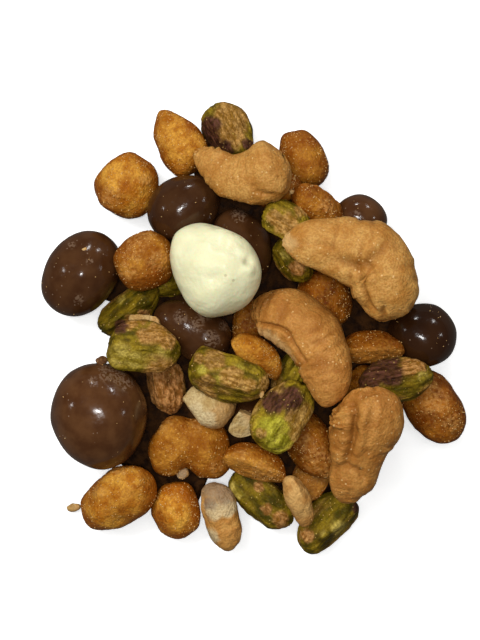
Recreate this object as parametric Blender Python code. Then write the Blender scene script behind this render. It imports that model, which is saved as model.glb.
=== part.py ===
"""A heap of trail mix, as it lies when a handful is tipped out on a table.

Chocolate balls, one yogurt-coated almond, cashews, honey-roasted peanuts, pistachio kernels and
broken bits lie on each other in two or three layers. The heap is one closed solid: every piece at its
true size with few sides, fused on to a low core that fills the middle.

The heap rests on z = 0, the origin is under its middle, +Z is up, and +Y is its longer side.
Lengths in this file are millimetres until they are handed to Blender, which takes metres.
"""

import math

import bmesh
import bpy
import numpy as np
from mathutils import Euler

MM = 0.001
HEAP_NAME = "trail_mix_heap"

# The sampling of a piece while it is laid down, and the relief map that it is laid on
CLOUD_CUTS = 30
MAP_CELL = 0.35
MAP_HALF_SIDE = 55.0
# How far a piece may tip, in degrees, and slide, in millimetres, to lie lower, and how much lower it
# has to lie for each degree and each millimetre
TIPS = (-16.0, -8.0, 0.0, 8.0, 16.0)
SLIDES = (-0.6, 0.0, 0.6)
TIP_COST = 0.012
SLIDE_COST = 0.25
# How deep a piece sinks into what carries it, so that they fuse, and how far it stays off the table
SINK = 0.9
FLOOR_GAP = 0.3

# The core: rings and spokes of its mound, and how far it stays under the pieces
CORE_RINGS = 5
CORE_SPOKES = 36
CORE_CALM_SPOKES = 1
CORE_INSET = 4.5
CORE_DEPTH = 3.6
CORE_RIM_HEIGHT = 3.0
CORE_CROWN_HEIGHT = 10.0
CORE_CALM = 3.0

# The flat sides of a pistachio kernel: how far out they lie, with the kernel's half width as 1, and
# how much of what lay beyond them they take
FACET_DEPTH = 0.66
FACET_PRESS = 0.80

# The half width of a piece while it is bent, with its half length as 1
SLENDER = 0.55

# A ball with flat sides lies inside the round one, so the pieces of the solid are this much larger
SWELL = 1.025

# Sides of a piece in the solid, as cuts across the face of a cube blown up to a ball: a small piece,
# one of middling size and a large one, and the lengths that divide them
SMALL_CUTS, MIDDLING_CUTS, LARGE_CUTS = 2, 3, 4
MIDDLING_LENGTH, LARGE_LENGTH = 11.5, 18.0
# A piece that shows with less than this share of its points is made like a small one
SHOWING_SHARE = 0.10
TOP_DEPTH = 0.5

# Colour, as linear red, green and blue, and roughness of each kind
FINISHES = {
    "chocolate": ((0.055, 0.022, 0.012), 0.35),
    "almond": ((0.80, 0.76, 0.56), 0.45),
    "cashew": ((0.62, 0.38, 0.16), 0.55),
    "peanut": ((0.50, 0.22, 0.05), 0.50),
    "half": ((0.52, 0.24, 0.06), 0.50),
    "pistachio": ((0.25, 0.24, 0.05), 0.60),
    "chip": ((0.66, 0.52, 0.30), 0.60),
}
CORE_FINISH = ((0.10, 0.05, 0.02), 0.70)

# The line through the middle of each cashew from end to end: x, y and half its width there. It is
# given as the cashew lies, whose turn is therefore 0.
TOP_SPINE = ((-9.0, 3.6, 1.5), (-6.0, 1.6, 2.8), (-2.4, -0.4, 3.8), (1.8, -0.6, 4.7), (5.6, 0.7, 5.0),
             (8.4, 2.1, 2.4))
LARGE_SPINE = ((-12.0, 5.6, 1.5), (-8.8, 5.4, 3.3), (-4.8, 5.0, 4.4), (-0.2, 4.0, 5.3), (4.7, 2.3, 6.1),
               (6.2, -2.2, 6.2), (5.8, -6.3, 4.4))
MIDDLE_SPINE = ((-8.7, 6.0, 2.2), (-6.2, 6.2, 4.0), (-2.5, 5.5, 5.3), (1.5, 3.1, 5.3), (4.2, -0.9, 4.9),
                (5.3, -5.1, 4.2), (5.1, -9.3, 2.2))
LOW_SPINE = ((-1.4, 9.9, 2.6), (-0.3, 7.6, 5.8), (0.5, 4.4, 6.6), (-0.5, 0.6, 5.7), (-1.1, -3.4, 4.5),
             (-1.9, -7.2, 4.1), (-2.7, -10.6, 2.4))

# The middle of the heap's outline, which comes to lie on the origin
MIDDLE = (-0.08, -0.23)

# Each piece: kind, x, y, turn, length, width, height, roll, pitch, and what is its own about its form.
# x and y place its middle. At turn 0 it lies along X; roll turns it about its length and pitch lifts
# its far end. They are in the order in which they are laid down, the lowest first.
PIECES = [
    # On the table round the edge, clockwise from the top
    ("pistachio", -5.3, 37.1, -62, 12.2, 9.3, 8.8, 20, 0, {}),
    ("peanut", 9.1, 32.0, -72, 11.8, 9.3, 9.0, 0, 0, {"taper": -0.10}),
    ("chocolate", 20.3, 20.8, -14, 10.1, 9.4, 9.0, 0, 0, {}),
    ("chocolate", 32.0, -1.5, -35, 13.2, 12.4, 11.6, 0, 0, {}),
    ("peanut", 34.2, -15.3, -54, 15.4, 10.4, 9.0, 0, 0, {"taper": -0.04}),
    ("pistachio", 13.9, -37.7, 48, 13.8, 8.6, 8.2, 0, 0, {"taper": -0.12, "facets": (40, 130, 250)}),
    ("pistachio", 1.5, -32.8, -45, 14.4, 8.9, 8.2, 0, 0, {"facets": (75, 150, -20, 230)}),
    ("chip", -5.8, -35.6, -80, 13.8, 6.9, 6.2, 0, 0, {"waist": 0.12, "cut": 0.96}),
    ("peanut", -14.5, -34.6, -80, 10.8, 9.1, 8.8, 0, 0, {}),
    ("peanut", -25.6, -33.4, 34, 16.0, 10.6, 9.6, 0, 0, {"waist": 0.03, "taper": -0.08}),
    ("chocolate", -29.5, -16.9, -85, 20.0, 18.3, 16.8, 0, 0, {}),
    ("chocolate", -33.1, 10.2, 50, 17.3, 13.8, 12.8, 0, 0, {"taper": -0.02}),
    ("peanut", -24.4, 27.2, 60, 12.4, 11.9, 9.6, 0, 0, {}),
    ("peanut", -14.9, 35.8, 121, 14.2, 9.2, 8.4, 0, 0, {"taper": 0.34, "tip": 1.0}),
    # On the table inside the heap, some of them hidden
    ("chocolate", -2.4, 15.8, -58, 14.4, 11.0, 10.6, 0, 0, {}),
    ("chocolate", -13.5, 23.2, 33, 14.6, 12.2, 11.8, 0, 0, {}),
    ("pistachio", -15.8, 8.6, 15, 9.0, 6.0, 5.6, 0, 0, {}),
    ("pistachio", -24.6, 4.0, 36, 13.6, 7.4, 7.4, 0, 0, {"facets": (55, 150, 240)}),
    ("peanut", -0.8, 1.0, 56, 9.6, 6.4, 6.0, 0, 0, {}),
    ("chocolate", -11.6, -0.2, -28, 16.0, 10.6, 9.4, 0, 0, {"taper": -0.12, "waist": 0.12}),
    ("chocolate", -2.6, -8.2, 20, 7.6, 7.0, 6.6, 0, 0, {}),
    ("peanut", 13.6, 5.4, -70, 11.4, 9.4, 8.8, 0, 0, {}),
    ("peanut", -12.4, -23.0, -6, 16.2, 11.8, 8.0, 0, 0, {"waist": 0.28, "bend": 84}),
    ("chip", -28.9, -6.9, 30, 2.2, 1.8, 1.6, 0, 0, {}),
    ("pistachio", -17.2, -11.8, -76, 11.2, 7.6, 7.4, 15, 0, {}),
    ("chocolate", 0.0, -17.0, 0, 9.0, 8.4, 8.0, 0, 0, {}),
    ("half", 10.8, -29.4, 62, 10.6, 6.8, 3.6, 180, 0, {}),
    ("peanut", 4.6, 27.0, 8, 9.6, 6.8, 6.4, 0, 0, {}),
    ("pistachio", 7.2, 12.0, -55, 9.4, 7.0, 6.8, 0, 0, {}),
    ("pistachio", 17.4, 14.0, -10, 12.0, 7.6, 7.2, 0, 0, {}),
    ("chocolate", 25.0, 8.0, -40, 9.6, 9.0, 8.6, 0, 0, {}),
    ("pistachio", 7.6, -9.4, 65, 11.4, 7.2, 6.8, 0, 0, {}),
    ("peanut", 20.4, -13.2, 80, 11.6, 8.4, 8.0, 0, 0, {}),
    ("half", 20.6, -24.4, -70, 11.0, 7.4, 4.6, 0, 0, {}),
    ("chip", -14.4, -27.6, 20, 2.4, 1.9, 1.7, 0, 0, {}),
    # The second layer
    ("half", 11.2, 22.9, -34, 11.6, 6.6, 5.4, 30, 0, {}),
    ("pistachio", 6.4, 19.9, -30, 9.8, 7.2, 6.8, 40, 0, {}),
    ("half", 22.6, -2.9, 5, 12.6, 6.4, 6.2, -100, 0, {}),
    ("chip", -21.0, 1.0, -14, 6.4, 4.2, 3.4, 0, 0, {}),
    ("chip", -8.6, -15.2, -40, 9.6, 8.4, 6.6, 0, 0, {"cut": 0.84}),
    ("chip", -2.0, -18.0, 20, 6.4, 5.6, 4.2, 0, 0, {"cut": 0.45}),
    ("half", 0.2, -26.0, -19, 12.6, 7.0, 6.0, -105, 0, {}),
    ("peanut", 10.8, -23.2, -60, 13.8, 9.0, 7.8, 0, 0, {"taper": 0.10}),
    ("chip", 7.6, -32.3, -64, 10.8, 4.7, 4.8, 0, 0, {"cut": 0.92}),
    ("pistachio", 26.0, -9.4, 11, 14.0, 8.4, 7.8, 0, 0, {"facets": (60, 130, 260)}),
    ("pistachio", -21.6, -3.6, -3, 13.8, 9.8, 8.2, 0, 0, {"facets": (55, 120, 190, 300)}),
    # On top
    ("peanut", -21.3, 12.4, 20, 11.3, 10.7, 9.6, 0, 0, {}),
    ("half", 0.3, -5.6, -40, 12.0, 6.0, 5.4, -70, 0, {"bend": 40}),
    ("pistachio", -4.9, -9.6, -20, 15.2, 9.0, 8.0, 0, 0, {"facets": (88, 20, 165, 270)}),
    ("pistachio", 4.9, -16.6, 56, 14.6, 9.8, 9.2, 0, 0, {"facets": (60, 125, 200, 320)}),
    ("cashew", -2.5, 28.4, 0, 18.7, 11.8, 9.2, 0, 0, {"spine": TOP_SPINE}),
    ("almond", -7.1, 11.9, -52, 18.6, 16.0, 14.2, 0, 0, {"taper": -0.16}),
    ("cashew", 20.8, -21.6, 0, 13.9, 22.8, 10.0, 0, 0, {"spine": LOW_SPINE}),
    ("cashew", 17.6, 10.8, 0, 25.2, 19.2, 10.6, 0, 0, {"spine": LARGE_SPINE}),
    ("cashew", 8.0, -4.4, 0, 19.8, 22.6, 9.8, 0, 0, {"spine": MIDDLE_SPINE}),
]


def clear_scene():
    for thing in list(bpy.data.objects):
        bpy.data.objects.remove(thing, do_unlink=True)


def ball(cuts):
    """A unit ball as a blown-up cube: its points and its four-sided faces."""
    mesh = bmesh.new()
    bmesh.ops.create_cube(mesh, size=2.0)
    bmesh.ops.subdivide_edges(mesh, edges=mesh.edges[:], cuts=cuts, use_grid_fill=True)
    points = np.array([vertex.co[:] for vertex in mesh.verts])
    faces = [[vertex.index for vertex in face.verts] for face in mesh.faces]
    mesh.free()
    points = np.tan(points * math.pi / 4)
    return points / np.linalg.norm(points, axis=1)[:, None], faces


def waves(points, seed, size, count=14):
    """Smooth unevenness of about one unit: seeded plane waves, about size long."""
    draw = np.random.default_rng(seed)
    pull = draw.normal(size=(3, count)) * 2.2 / size
    return np.sin(points @ pull + draw.uniform(0, 2 * math.pi, count)).sum(1) / math.sqrt(count / 2)


def drawn_out(points, blunt, tip, taper, waist):
    """A ball made into a kernel along x: blunt end behind, tip ahead, thinner one way, with a waist."""
    x = points[:, 0]
    ring = np.hypot(points[:, 1], points[:, 2])
    power = blunt + (tip - blunt) * (x + 1) / 2
    scale = np.maximum(ring, 1e-6) ** (power - 1)
    scale = scale * (1 - taper * x) * (1 - waist * np.exp(-((x / 0.35) ** 2)))
    return np.column_stack([x, points[:, 1] * scale, points[:, 2] * scale])


def bent(points, degrees):
    """A body of length 2 along x, bent through an arc: its ends turn towards -y."""
    if not degrees:
        return points
    radius = 2 / math.radians(degrees)
    angle = points[:, 0] / radius
    reach = radius + points[:, 1]
    return np.column_stack([reach * np.sin(angle), reach * np.cos(angle), points[:, 2]])


def lumpy(points, seed, height, size):
    return points * (1 + height * waves(points, seed, size))[:, None]


def chocolate(ball_points, seed, taper=0.04, waist=0.0):
    return drawn_out(lumpy(ball_points, seed, 0.022, 1.1), 0.97, 0.97, taper, waist)


def almond(ball_points, seed, taper=0.1):
    return drawn_out(lumpy(ball_points, seed, 0.030, 0.9), 0.96, 1.0, taper, 0.0)


def peanut(ball_points, seed, taper=0.05, tip=0.92, waist=0.02, bend=0):
    body = drawn_out(lumpy(ball_points, seed, 0.030, 0.8), 0.84, tip, taper, waist)
    if bend:
        body[:, 1:] *= SLENDER
    return bent(body, bend)


def half(ball_points, seed, taper=0.06, bend=0):
    """Half a peanut: its lower side is the flat that it split along."""
    body = drawn_out(lumpy(ball_points, seed, 0.025, 0.8), 0.84, 1.0, taper, 0.0)
    body[:, 2] = np.where(body[:, 2] < 0, body[:, 2] * 0.30, body[:, 2])
    body[:, 1:] *= SLENDER
    return bent(body, bend)


def pistachio(ball_points, seed, taper=0.10, facets=(50, 140, 260)):
    """A kernel with a blunt end, a pointed end and the line where its two halves meet.

    It was pressed flat towards each of the facets, given as degrees about its length from +y."""
    body = drawn_out(lumpy(ball_points, seed, 0.022, 0.8), 0.86, 1.12, taper, 0.0)
    around = np.arctan2(ball_points[:, 2], np.abs(ball_points[:, 1]))
    groove = 1 - 0.05 * np.exp(-((around / 0.22) ** 2))
    body[:, 1:] *= groove[:, None]
    for degrees in facets:
        facing = np.array((0.0, math.cos(math.radians(degrees)), math.sin(math.radians(degrees))))
        beyond = np.maximum(body @ facing - FACET_DEPTH, 0)
        body -= np.outer(beyond * FACET_PRESS, facing)
    return body


def along(spine, share):
    """The place and half width at each share of the way along the smooth curve through a spine."""
    stations = np.array(spine)
    spans = len(stations) - 1
    span = np.clip((share * spans).astype(int), 0, spans - 1)
    u = (share * spans - span)[:, None]
    before, after = 2 * stations[0] - stations[1], 2 * stations[-1] - stations[-2]
    knots = np.vstack([before, stations, after])
    a, b, c, d = (knots[span + step] for step in range(4))
    return b + 0.5 * u * (c - a + u * (2 * a - 5 * b + 4 * c - d + u * (3 * (b - c) + d - a)))


def cashew(ball_points, seed, spine):
    """A thick crescent along its spine, with a seam along the inner side of its bend."""
    ball_points = lumpy(ball_points, seed, 0.020, 0.9)
    ball_points /= np.abs(ball_points[:, 0]).max()
    x = ball_points[:, 0]
    share = (x + 1) / 2
    step = 0.01
    ahead, behind = along(spine, np.minimum(share + step, 1)), along(spine, np.maximum(share - step, 0))
    heading = (ahead - behind)[:, :2]
    heading /= np.linalg.norm(heading, axis=1)[:, None]
    middle = along(spine, share)
    ring = np.maximum(np.hypot(ball_points[:, 1], ball_points[:, 2]), 1e-6)
    round_end = np.sqrt(np.maximum(1 - x**8, 0))
    around = np.arctan2(ball_points[:, 2], ball_points[:, 1])
    seam = 0.14 * np.exp(-(((math.pi - np.abs(around)) / 0.35) ** 2))
    across = ball_points[:, 1] / ring * middle[:, 2] * round_end * (1 - seam)
    up = ball_points[:, 2] / ring * middle[:, 2] * round_end
    return np.column_stack(
        [middle[:, 0] - heading[:, 1] * across, middle[:, 1] + heading[:, 0] * across, up]
    )


def chip(ball_points, seed, cut=0.62, waist=0.0):
    """A broken bit: a kernel with a few flat faces broken off it."""
    body = drawn_out(lumpy(ball_points, seed, 0.03, 0.8), 0.80, 0.80, 0.0, waist)
    draw = np.random.default_rng(seed + 1000)
    for _ in range(4):
        facing = draw.normal(size=3) * (0.4, 1.0, 1.0)
        facing /= np.linalg.norm(facing)
        beyond = np.maximum(body @ facing - cut, 0)
        body -= np.outer(beyond * 0.85, facing)
    return body


FORMS = {
    "chocolate": chocolate,
    "almond": almond,
    "peanut": peanut,
    "half": half,
    "pistachio": pistachio,
    "cashew": cashew,
    "chip": chip,
}


def turned(roll, pitch, turn):
    """The rotation that rolls a piece about its length, lifts its far end and turns it in plan."""
    roll, pitch, turn = (math.radians(angle) for angle in (roll, pitch, turn))
    return np.array(Euler((roll, -pitch, turn), "XYZ").to_matrix())


class Piece:
    """One piece of the mix: its form at its true size, and where it lies."""

    def __init__(self, row, seed, cloud_ball):
        self.kind, x, y, turn, length, width, height, roll, pitch, self.own = row
        self.seed = seed
        self.size = np.array([length, width, height])
        self.rotation = turned(roll, pitch, turn)
        self.place = np.array([x - MIDDLE[0], y - MIDDLE[1], 0.0])
        raw = FORMS[self.kind](cloud_ball, seed, **self.own)
        self.low, self.high = raw.min(0), raw.max(0)
        self.cloud_ball = cloud_ball
        self.cloud = self.form(cloud_ball)

    def form(self, ball_points):
        """The piece about its own middle, along x, at its true length, width and height."""
        raw = FORMS[self.kind](ball_points, self.seed, **self.own)
        return (raw - (self.low + self.high) / 2) / (self.high - self.low) * self.size

    def shows(self, relief):
        """Whether enough of the piece is the heap's upper side."""
        cloud = self.laid(self.cloud_ball)
        on_top = cloud[:, 2] > relief[cells_of(cloud[:, 0], cloud[:, 1])] - TOP_DEPTH
        return on_top.mean() > SHOWING_SHARE

    def laid(self, ball_points, swell=1.0):
        """The piece where it lies in the heap."""
        return swell * self.form(ball_points) @ self.rotation.T + self.place


def cells_of(x, y):
    """The cell of the relief map under each point."""
    return (
        ((x + MAP_HALF_SIDE) / MAP_CELL).astype(int),
        ((y + MAP_HALF_SIDE) / MAP_CELL).astype(int),
    )


def lay_down(pieces):
    """Drops each piece straight down on those before it, tipped and slid to where it lies lowest.

    Returns the relief map of the whole heap: the height of its upper side over each cell."""
    side = int(2 * MAP_HALF_SIDE / MAP_CELL)
    relief = np.zeros((side, side))
    for piece in pieces:
        support = np.maximum(relief - SINK, FLOOR_GAP)
        best = None
        for tip_x in TIPS:
            for tip_y in TIPS:
                tip = np.array(Euler((math.radians(tip_x), math.radians(tip_y), 0)).to_matrix())
                rotation = tip @ piece.rotation
                cloud = piece.cloud @ rotation.T
                for slide_x in SLIDES:
                    for slide_y in SLIDES:
                        at = piece.place + (slide_x, slide_y, 0)
                        column, row = cells_of(cloud[:, 0] + at[0], cloud[:, 1] + at[1])
                        height = (support[column, row] - cloud[:, 2]).max()
                        cost = height + TIP_COST * (abs(tip_x) + abs(tip_y))
                        cost += SLIDE_COST * (abs(slide_x) + abs(slide_y))
                        if best is None or cost < best[0] - 1e-6:
                            best = (cost, rotation, at + (0, 0, height))
        piece.rotation, piece.place = best[1], best[2]
        cloud = piece.cloud @ piece.rotation.T + piece.place
        np.maximum.at(relief, cells_of(cloud[:, 0], cloud[:, 1]), cloud[:, 2])
    return relief


def cuts_for(piece, relief):
    """How finely the solid of a piece is cut: by its length, and coarsely where it hardly shows."""
    length = piece.size.max()
    if length < MIDDLING_LENGTH or not piece.shows(relief):
        return SMALL_CUTS
    return MIDDLING_CUTS if length < LARGE_LENGTH else LARGE_CUTS


def finish(name, look):
    """A material of this colour and roughness, made once."""
    found = bpy.data.materials.get(name)
    if found:
        return found
    material = bpy.data.materials.new(name)
    material.use_nodes = True
    shader = material.node_tree.nodes["Principled BSDF"]
    shader.inputs["Base Color"].default_value = (*look[0], 1.0)
    shader.inputs["Roughness"].default_value = look[1]
    material.diffuse_color = (*look[0], 1.0)
    return material


def mesh_object(name, points, faces, look, collection):
    """A closed mesh object from points in millimetres."""
    mesh = bpy.data.meshes.new(name)
    mesh.from_pydata((points * MM).tolist(), [], faces)
    mesh.materials.append(finish(look[0], look[1]))
    made = bpy.data.objects.new(name, mesh)
    collection.objects.link(made)
    return made


def outline(relief, angle):
    """How far the heap reaches from its middle in this direction."""
    steps = np.arange(0, MAP_HALF_SIDE - 1, MAP_CELL)
    heights = relief[cells_of(steps * math.cos(angle), steps * math.sin(angle))]
    return steps[heights > 0].max()


def core_reach(relief):
    """How far the core reaches along each spoke: inside the heap's outline, and calmer than that."""
    reach = np.array([outline(relief, 2 * math.pi * spoke / CORE_SPOKES) for spoke in range(CORE_SPOKES)])
    shifts = range(-CORE_CALM_SPOKES, CORE_CALM_SPOKES + 1)
    return np.mean([np.roll(reach, shift) for shift in shifts], axis=0) - CORE_INSET


def core_height(relief, x, y):
    """A little under the lowest of the heap's upper side near here."""
    near = np.arange(-CORE_CALM, CORE_CALM + 0.1, 1.0)
    across, along_y = np.meshgrid(x + near, y + near)
    lowest = relief[cells_of(across, along_y)].min()
    return min(max(lowest - CORE_DEPTH, CORE_RIM_HEIGHT), CORE_CROWN_HEIGHT)


def core(relief, collection):
    """The mound that the pieces are fused on to: rings and spokes on a flat foot."""
    mesh = bmesh.new()
    angles = [2 * math.pi * spoke / CORE_SPOKES for spoke in range(CORE_SPOKES)]
    reach = core_reach(relief)
    foot = [mesh.verts.new((r * math.cos(a), r * math.sin(a), 0)) for a, r in zip(angles, reach)]
    rings = [foot]
    for ring in range(CORE_RINGS, 0, -1):
        share = ring / CORE_RINGS
        verts = []
        for angle, full in zip(angles, reach):
            x, y = share * full * math.cos(angle), share * full * math.sin(angle)
            verts.append(mesh.verts.new((x, y, core_height(relief, x, y))))
        rings.append(verts)
    top = mesh.verts.new((0, 0, core_height(relief, 0, 0)))
    mesh.faces.new(foot[::-1])
    for spoke in range(CORE_SPOKES):
        following = (spoke + 1) % CORE_SPOKES
        mesh.faces.new((rings[-1][spoke], rings[-1][following], top))
        for outer, inner in zip(rings, rings[1:]):
            mesh.faces.new((outer[spoke], outer[following], inner[following], inner[spoke]))
    bmesh.ops.scale(mesh, vec=(MM, MM, MM), verts=mesh.verts)
    data = bpy.data.meshes.new(HEAP_NAME)
    mesh.to_mesh(data)
    mesh.free()
    data.materials.append(finish("core", CORE_FINISH))
    heap = bpy.data.objects.new(HEAP_NAME, data)
    collection.objects.link(heap)
    return heap


def fuse(heap, joined):
    """Joins every object of the collection to the heap, then removes them."""
    union = heap.modifiers.new("fuse", "BOOLEAN")
    union.operation = "UNION"
    union.operand_type = "COLLECTION"
    union.collection = joined
    union.solver = "MANIFOLD"
    graph = bpy.context.evaluated_depsgraph_get()
    fused = bpy.data.meshes.new_from_object(heap.evaluated_get(graph))
    heap.modifiers.remove(union)
    heap.data = fused
    for thing in list(joined.objects):
        bpy.data.objects.remove(thing, do_unlink=True)
    bpy.data.collections.remove(joined)


def shells_of(mesh):
    """The separate closed surfaces of a mesh, each as a list of faces."""
    left = set(mesh.faces)
    while left:
        shell, to_visit = [], [left.pop()]
        while to_visit:
            face = to_visit.pop()
            shell.append(face)
            for edge in face.edges:
                for neighbour in edge.link_faces:
                    if neighbour in left:
                        left.remove(neighbour)
                        to_visit.append(neighbour)
        yield shell


def volume_of(shell):
    """The signed volume inside a closed shell of triangles."""
    return sum(a.co.dot(b.co.cross(c.co)) for a, b, c in (face.verts for face in shell)) / 6


def keep_one_body(heap):
    """Fills the hollows that fusing sealed and drops loose scraps: only the largest shell stays."""
    mesh = bmesh.new()
    mesh.from_mesh(heap.data)
    bmesh.ops.triangulate(mesh, faces=mesh.faces[:])
    shells = sorted(shells_of(mesh), key=volume_of)
    for shell in shells[:-1]:
        bmesh.ops.delete(mesh, geom=shell, context="FACES")
    mesh.to_mesh(heap.data)
    mesh.free()


def main():
    clear_scene()
    scene_collection = bpy.context.scene.collection
    shown = bpy.data.collections.new("trail_mix")
    joined = bpy.data.collections.new("joined")
    scene_collection.children.link(shown)
    scene_collection.children.link(joined)
    cloud_ball = ball(CLOUD_CUTS)[0]
    pieces = [Piece(row, seed, cloud_ball) for seed, row in enumerate(PIECES)]
    relief = lay_down(pieces)
    for number, piece in enumerate(pieces):
        ball_points, faces = ball(cuts_for(piece, relief))
        look = (piece.kind, FINISHES[piece.kind])
        mesh_object(f"{piece.kind}_{number}", piece.laid(ball_points, SWELL), faces, look, joined)
    heap = core(relief, shown)
    fuse(heap, joined)
    keep_one_body(heap)


if __name__ == "__main__":
    main()
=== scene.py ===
import math
from itertools import product

import bmesh
import bpy
import numpy as np
from mathutils import Euler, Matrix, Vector


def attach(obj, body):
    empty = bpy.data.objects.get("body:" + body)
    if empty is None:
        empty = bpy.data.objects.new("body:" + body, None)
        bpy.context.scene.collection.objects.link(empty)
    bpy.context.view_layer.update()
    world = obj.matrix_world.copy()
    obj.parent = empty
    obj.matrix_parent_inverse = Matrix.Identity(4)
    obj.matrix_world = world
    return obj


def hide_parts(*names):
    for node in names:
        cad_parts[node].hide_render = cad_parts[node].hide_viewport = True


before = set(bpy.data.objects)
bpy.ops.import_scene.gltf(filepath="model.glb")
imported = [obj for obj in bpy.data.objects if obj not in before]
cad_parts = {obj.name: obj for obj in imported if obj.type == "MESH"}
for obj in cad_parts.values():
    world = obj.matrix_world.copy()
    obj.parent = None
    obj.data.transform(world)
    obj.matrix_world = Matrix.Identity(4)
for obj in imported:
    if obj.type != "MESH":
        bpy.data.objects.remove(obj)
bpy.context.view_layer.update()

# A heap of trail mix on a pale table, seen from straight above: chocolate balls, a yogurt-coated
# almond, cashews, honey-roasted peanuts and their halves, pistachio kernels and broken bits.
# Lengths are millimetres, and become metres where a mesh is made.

MM = 0.001
HEAP_NODE = "trail_mix_heap"

# Laying the pieces down: how finely a piece and the relief map are sampled, how far a piece may tip,
# in degrees, and slide to lie lower, and how deep it beds into what carries it
CLOUD_CUTS = 30
MAP_CELL = 0.35
MAP_HALF_SIDE = 55.0
TIPS = (-16.0, -8.0, 0.0, 8.0, 16.0)
SLIDES = (-0.6, 0.0, 0.6)
SINK = 0.9
FLOOR_GAP = 0.3
TIP_COST = 0.012
SLIDE_COST = 0.25

# The line through the middle of each cashew from end to end: x, y and half its width there. It is
# given as the cashew lies, whose turn is therefore 0.
TOP_SPINE = ((-9.0, 3.6, 1.5), (-6.0, 1.6, 2.8), (-2.4, -0.4, 3.8), (1.8, -0.6, 4.7), (5.6, 0.7, 5.0),
             (8.4, 2.1, 2.4))
LARGE_SPINE = ((-12.0, 5.6, 1.5), (-8.8, 5.4, 3.3), (-4.8, 5.0, 4.4), (-0.2, 4.0, 5.3), (4.7, 2.3, 6.1),
               (6.2, -2.2, 6.2), (5.8, -6.3, 4.4))
MIDDLE_SPINE = ((-8.7, 6.0, 2.2), (-6.2, 6.2, 4.0), (-2.5, 5.5, 5.3), (1.5, 3.1, 5.3), (4.2, -0.9, 4.9),
                (5.3, -5.1, 4.2), (5.1, -9.3, 2.2))
LOW_SPINE = ((-1.4, 9.9, 2.6), (-0.3, 7.6, 5.8), (0.5, 4.4, 6.6), (-0.5, 0.6, 5.7), (-1.1, -3.4, 4.5),
             (-1.9, -7.2, 4.1), (-2.7, -10.6, 2.4))

# The flat sides of a pistachio kernel: how far out they lie, and how much they take of what lay beyond
FACET_DEPTH = 0.66
FACET_PRESS = 0.80

# The half width of a piece while it is bent, with its half length as 1
SLENDER = 0.55

# The middle of the heap's outline, which comes to lie on the origin
MIDDLE = (-0.08, -0.23)

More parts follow.
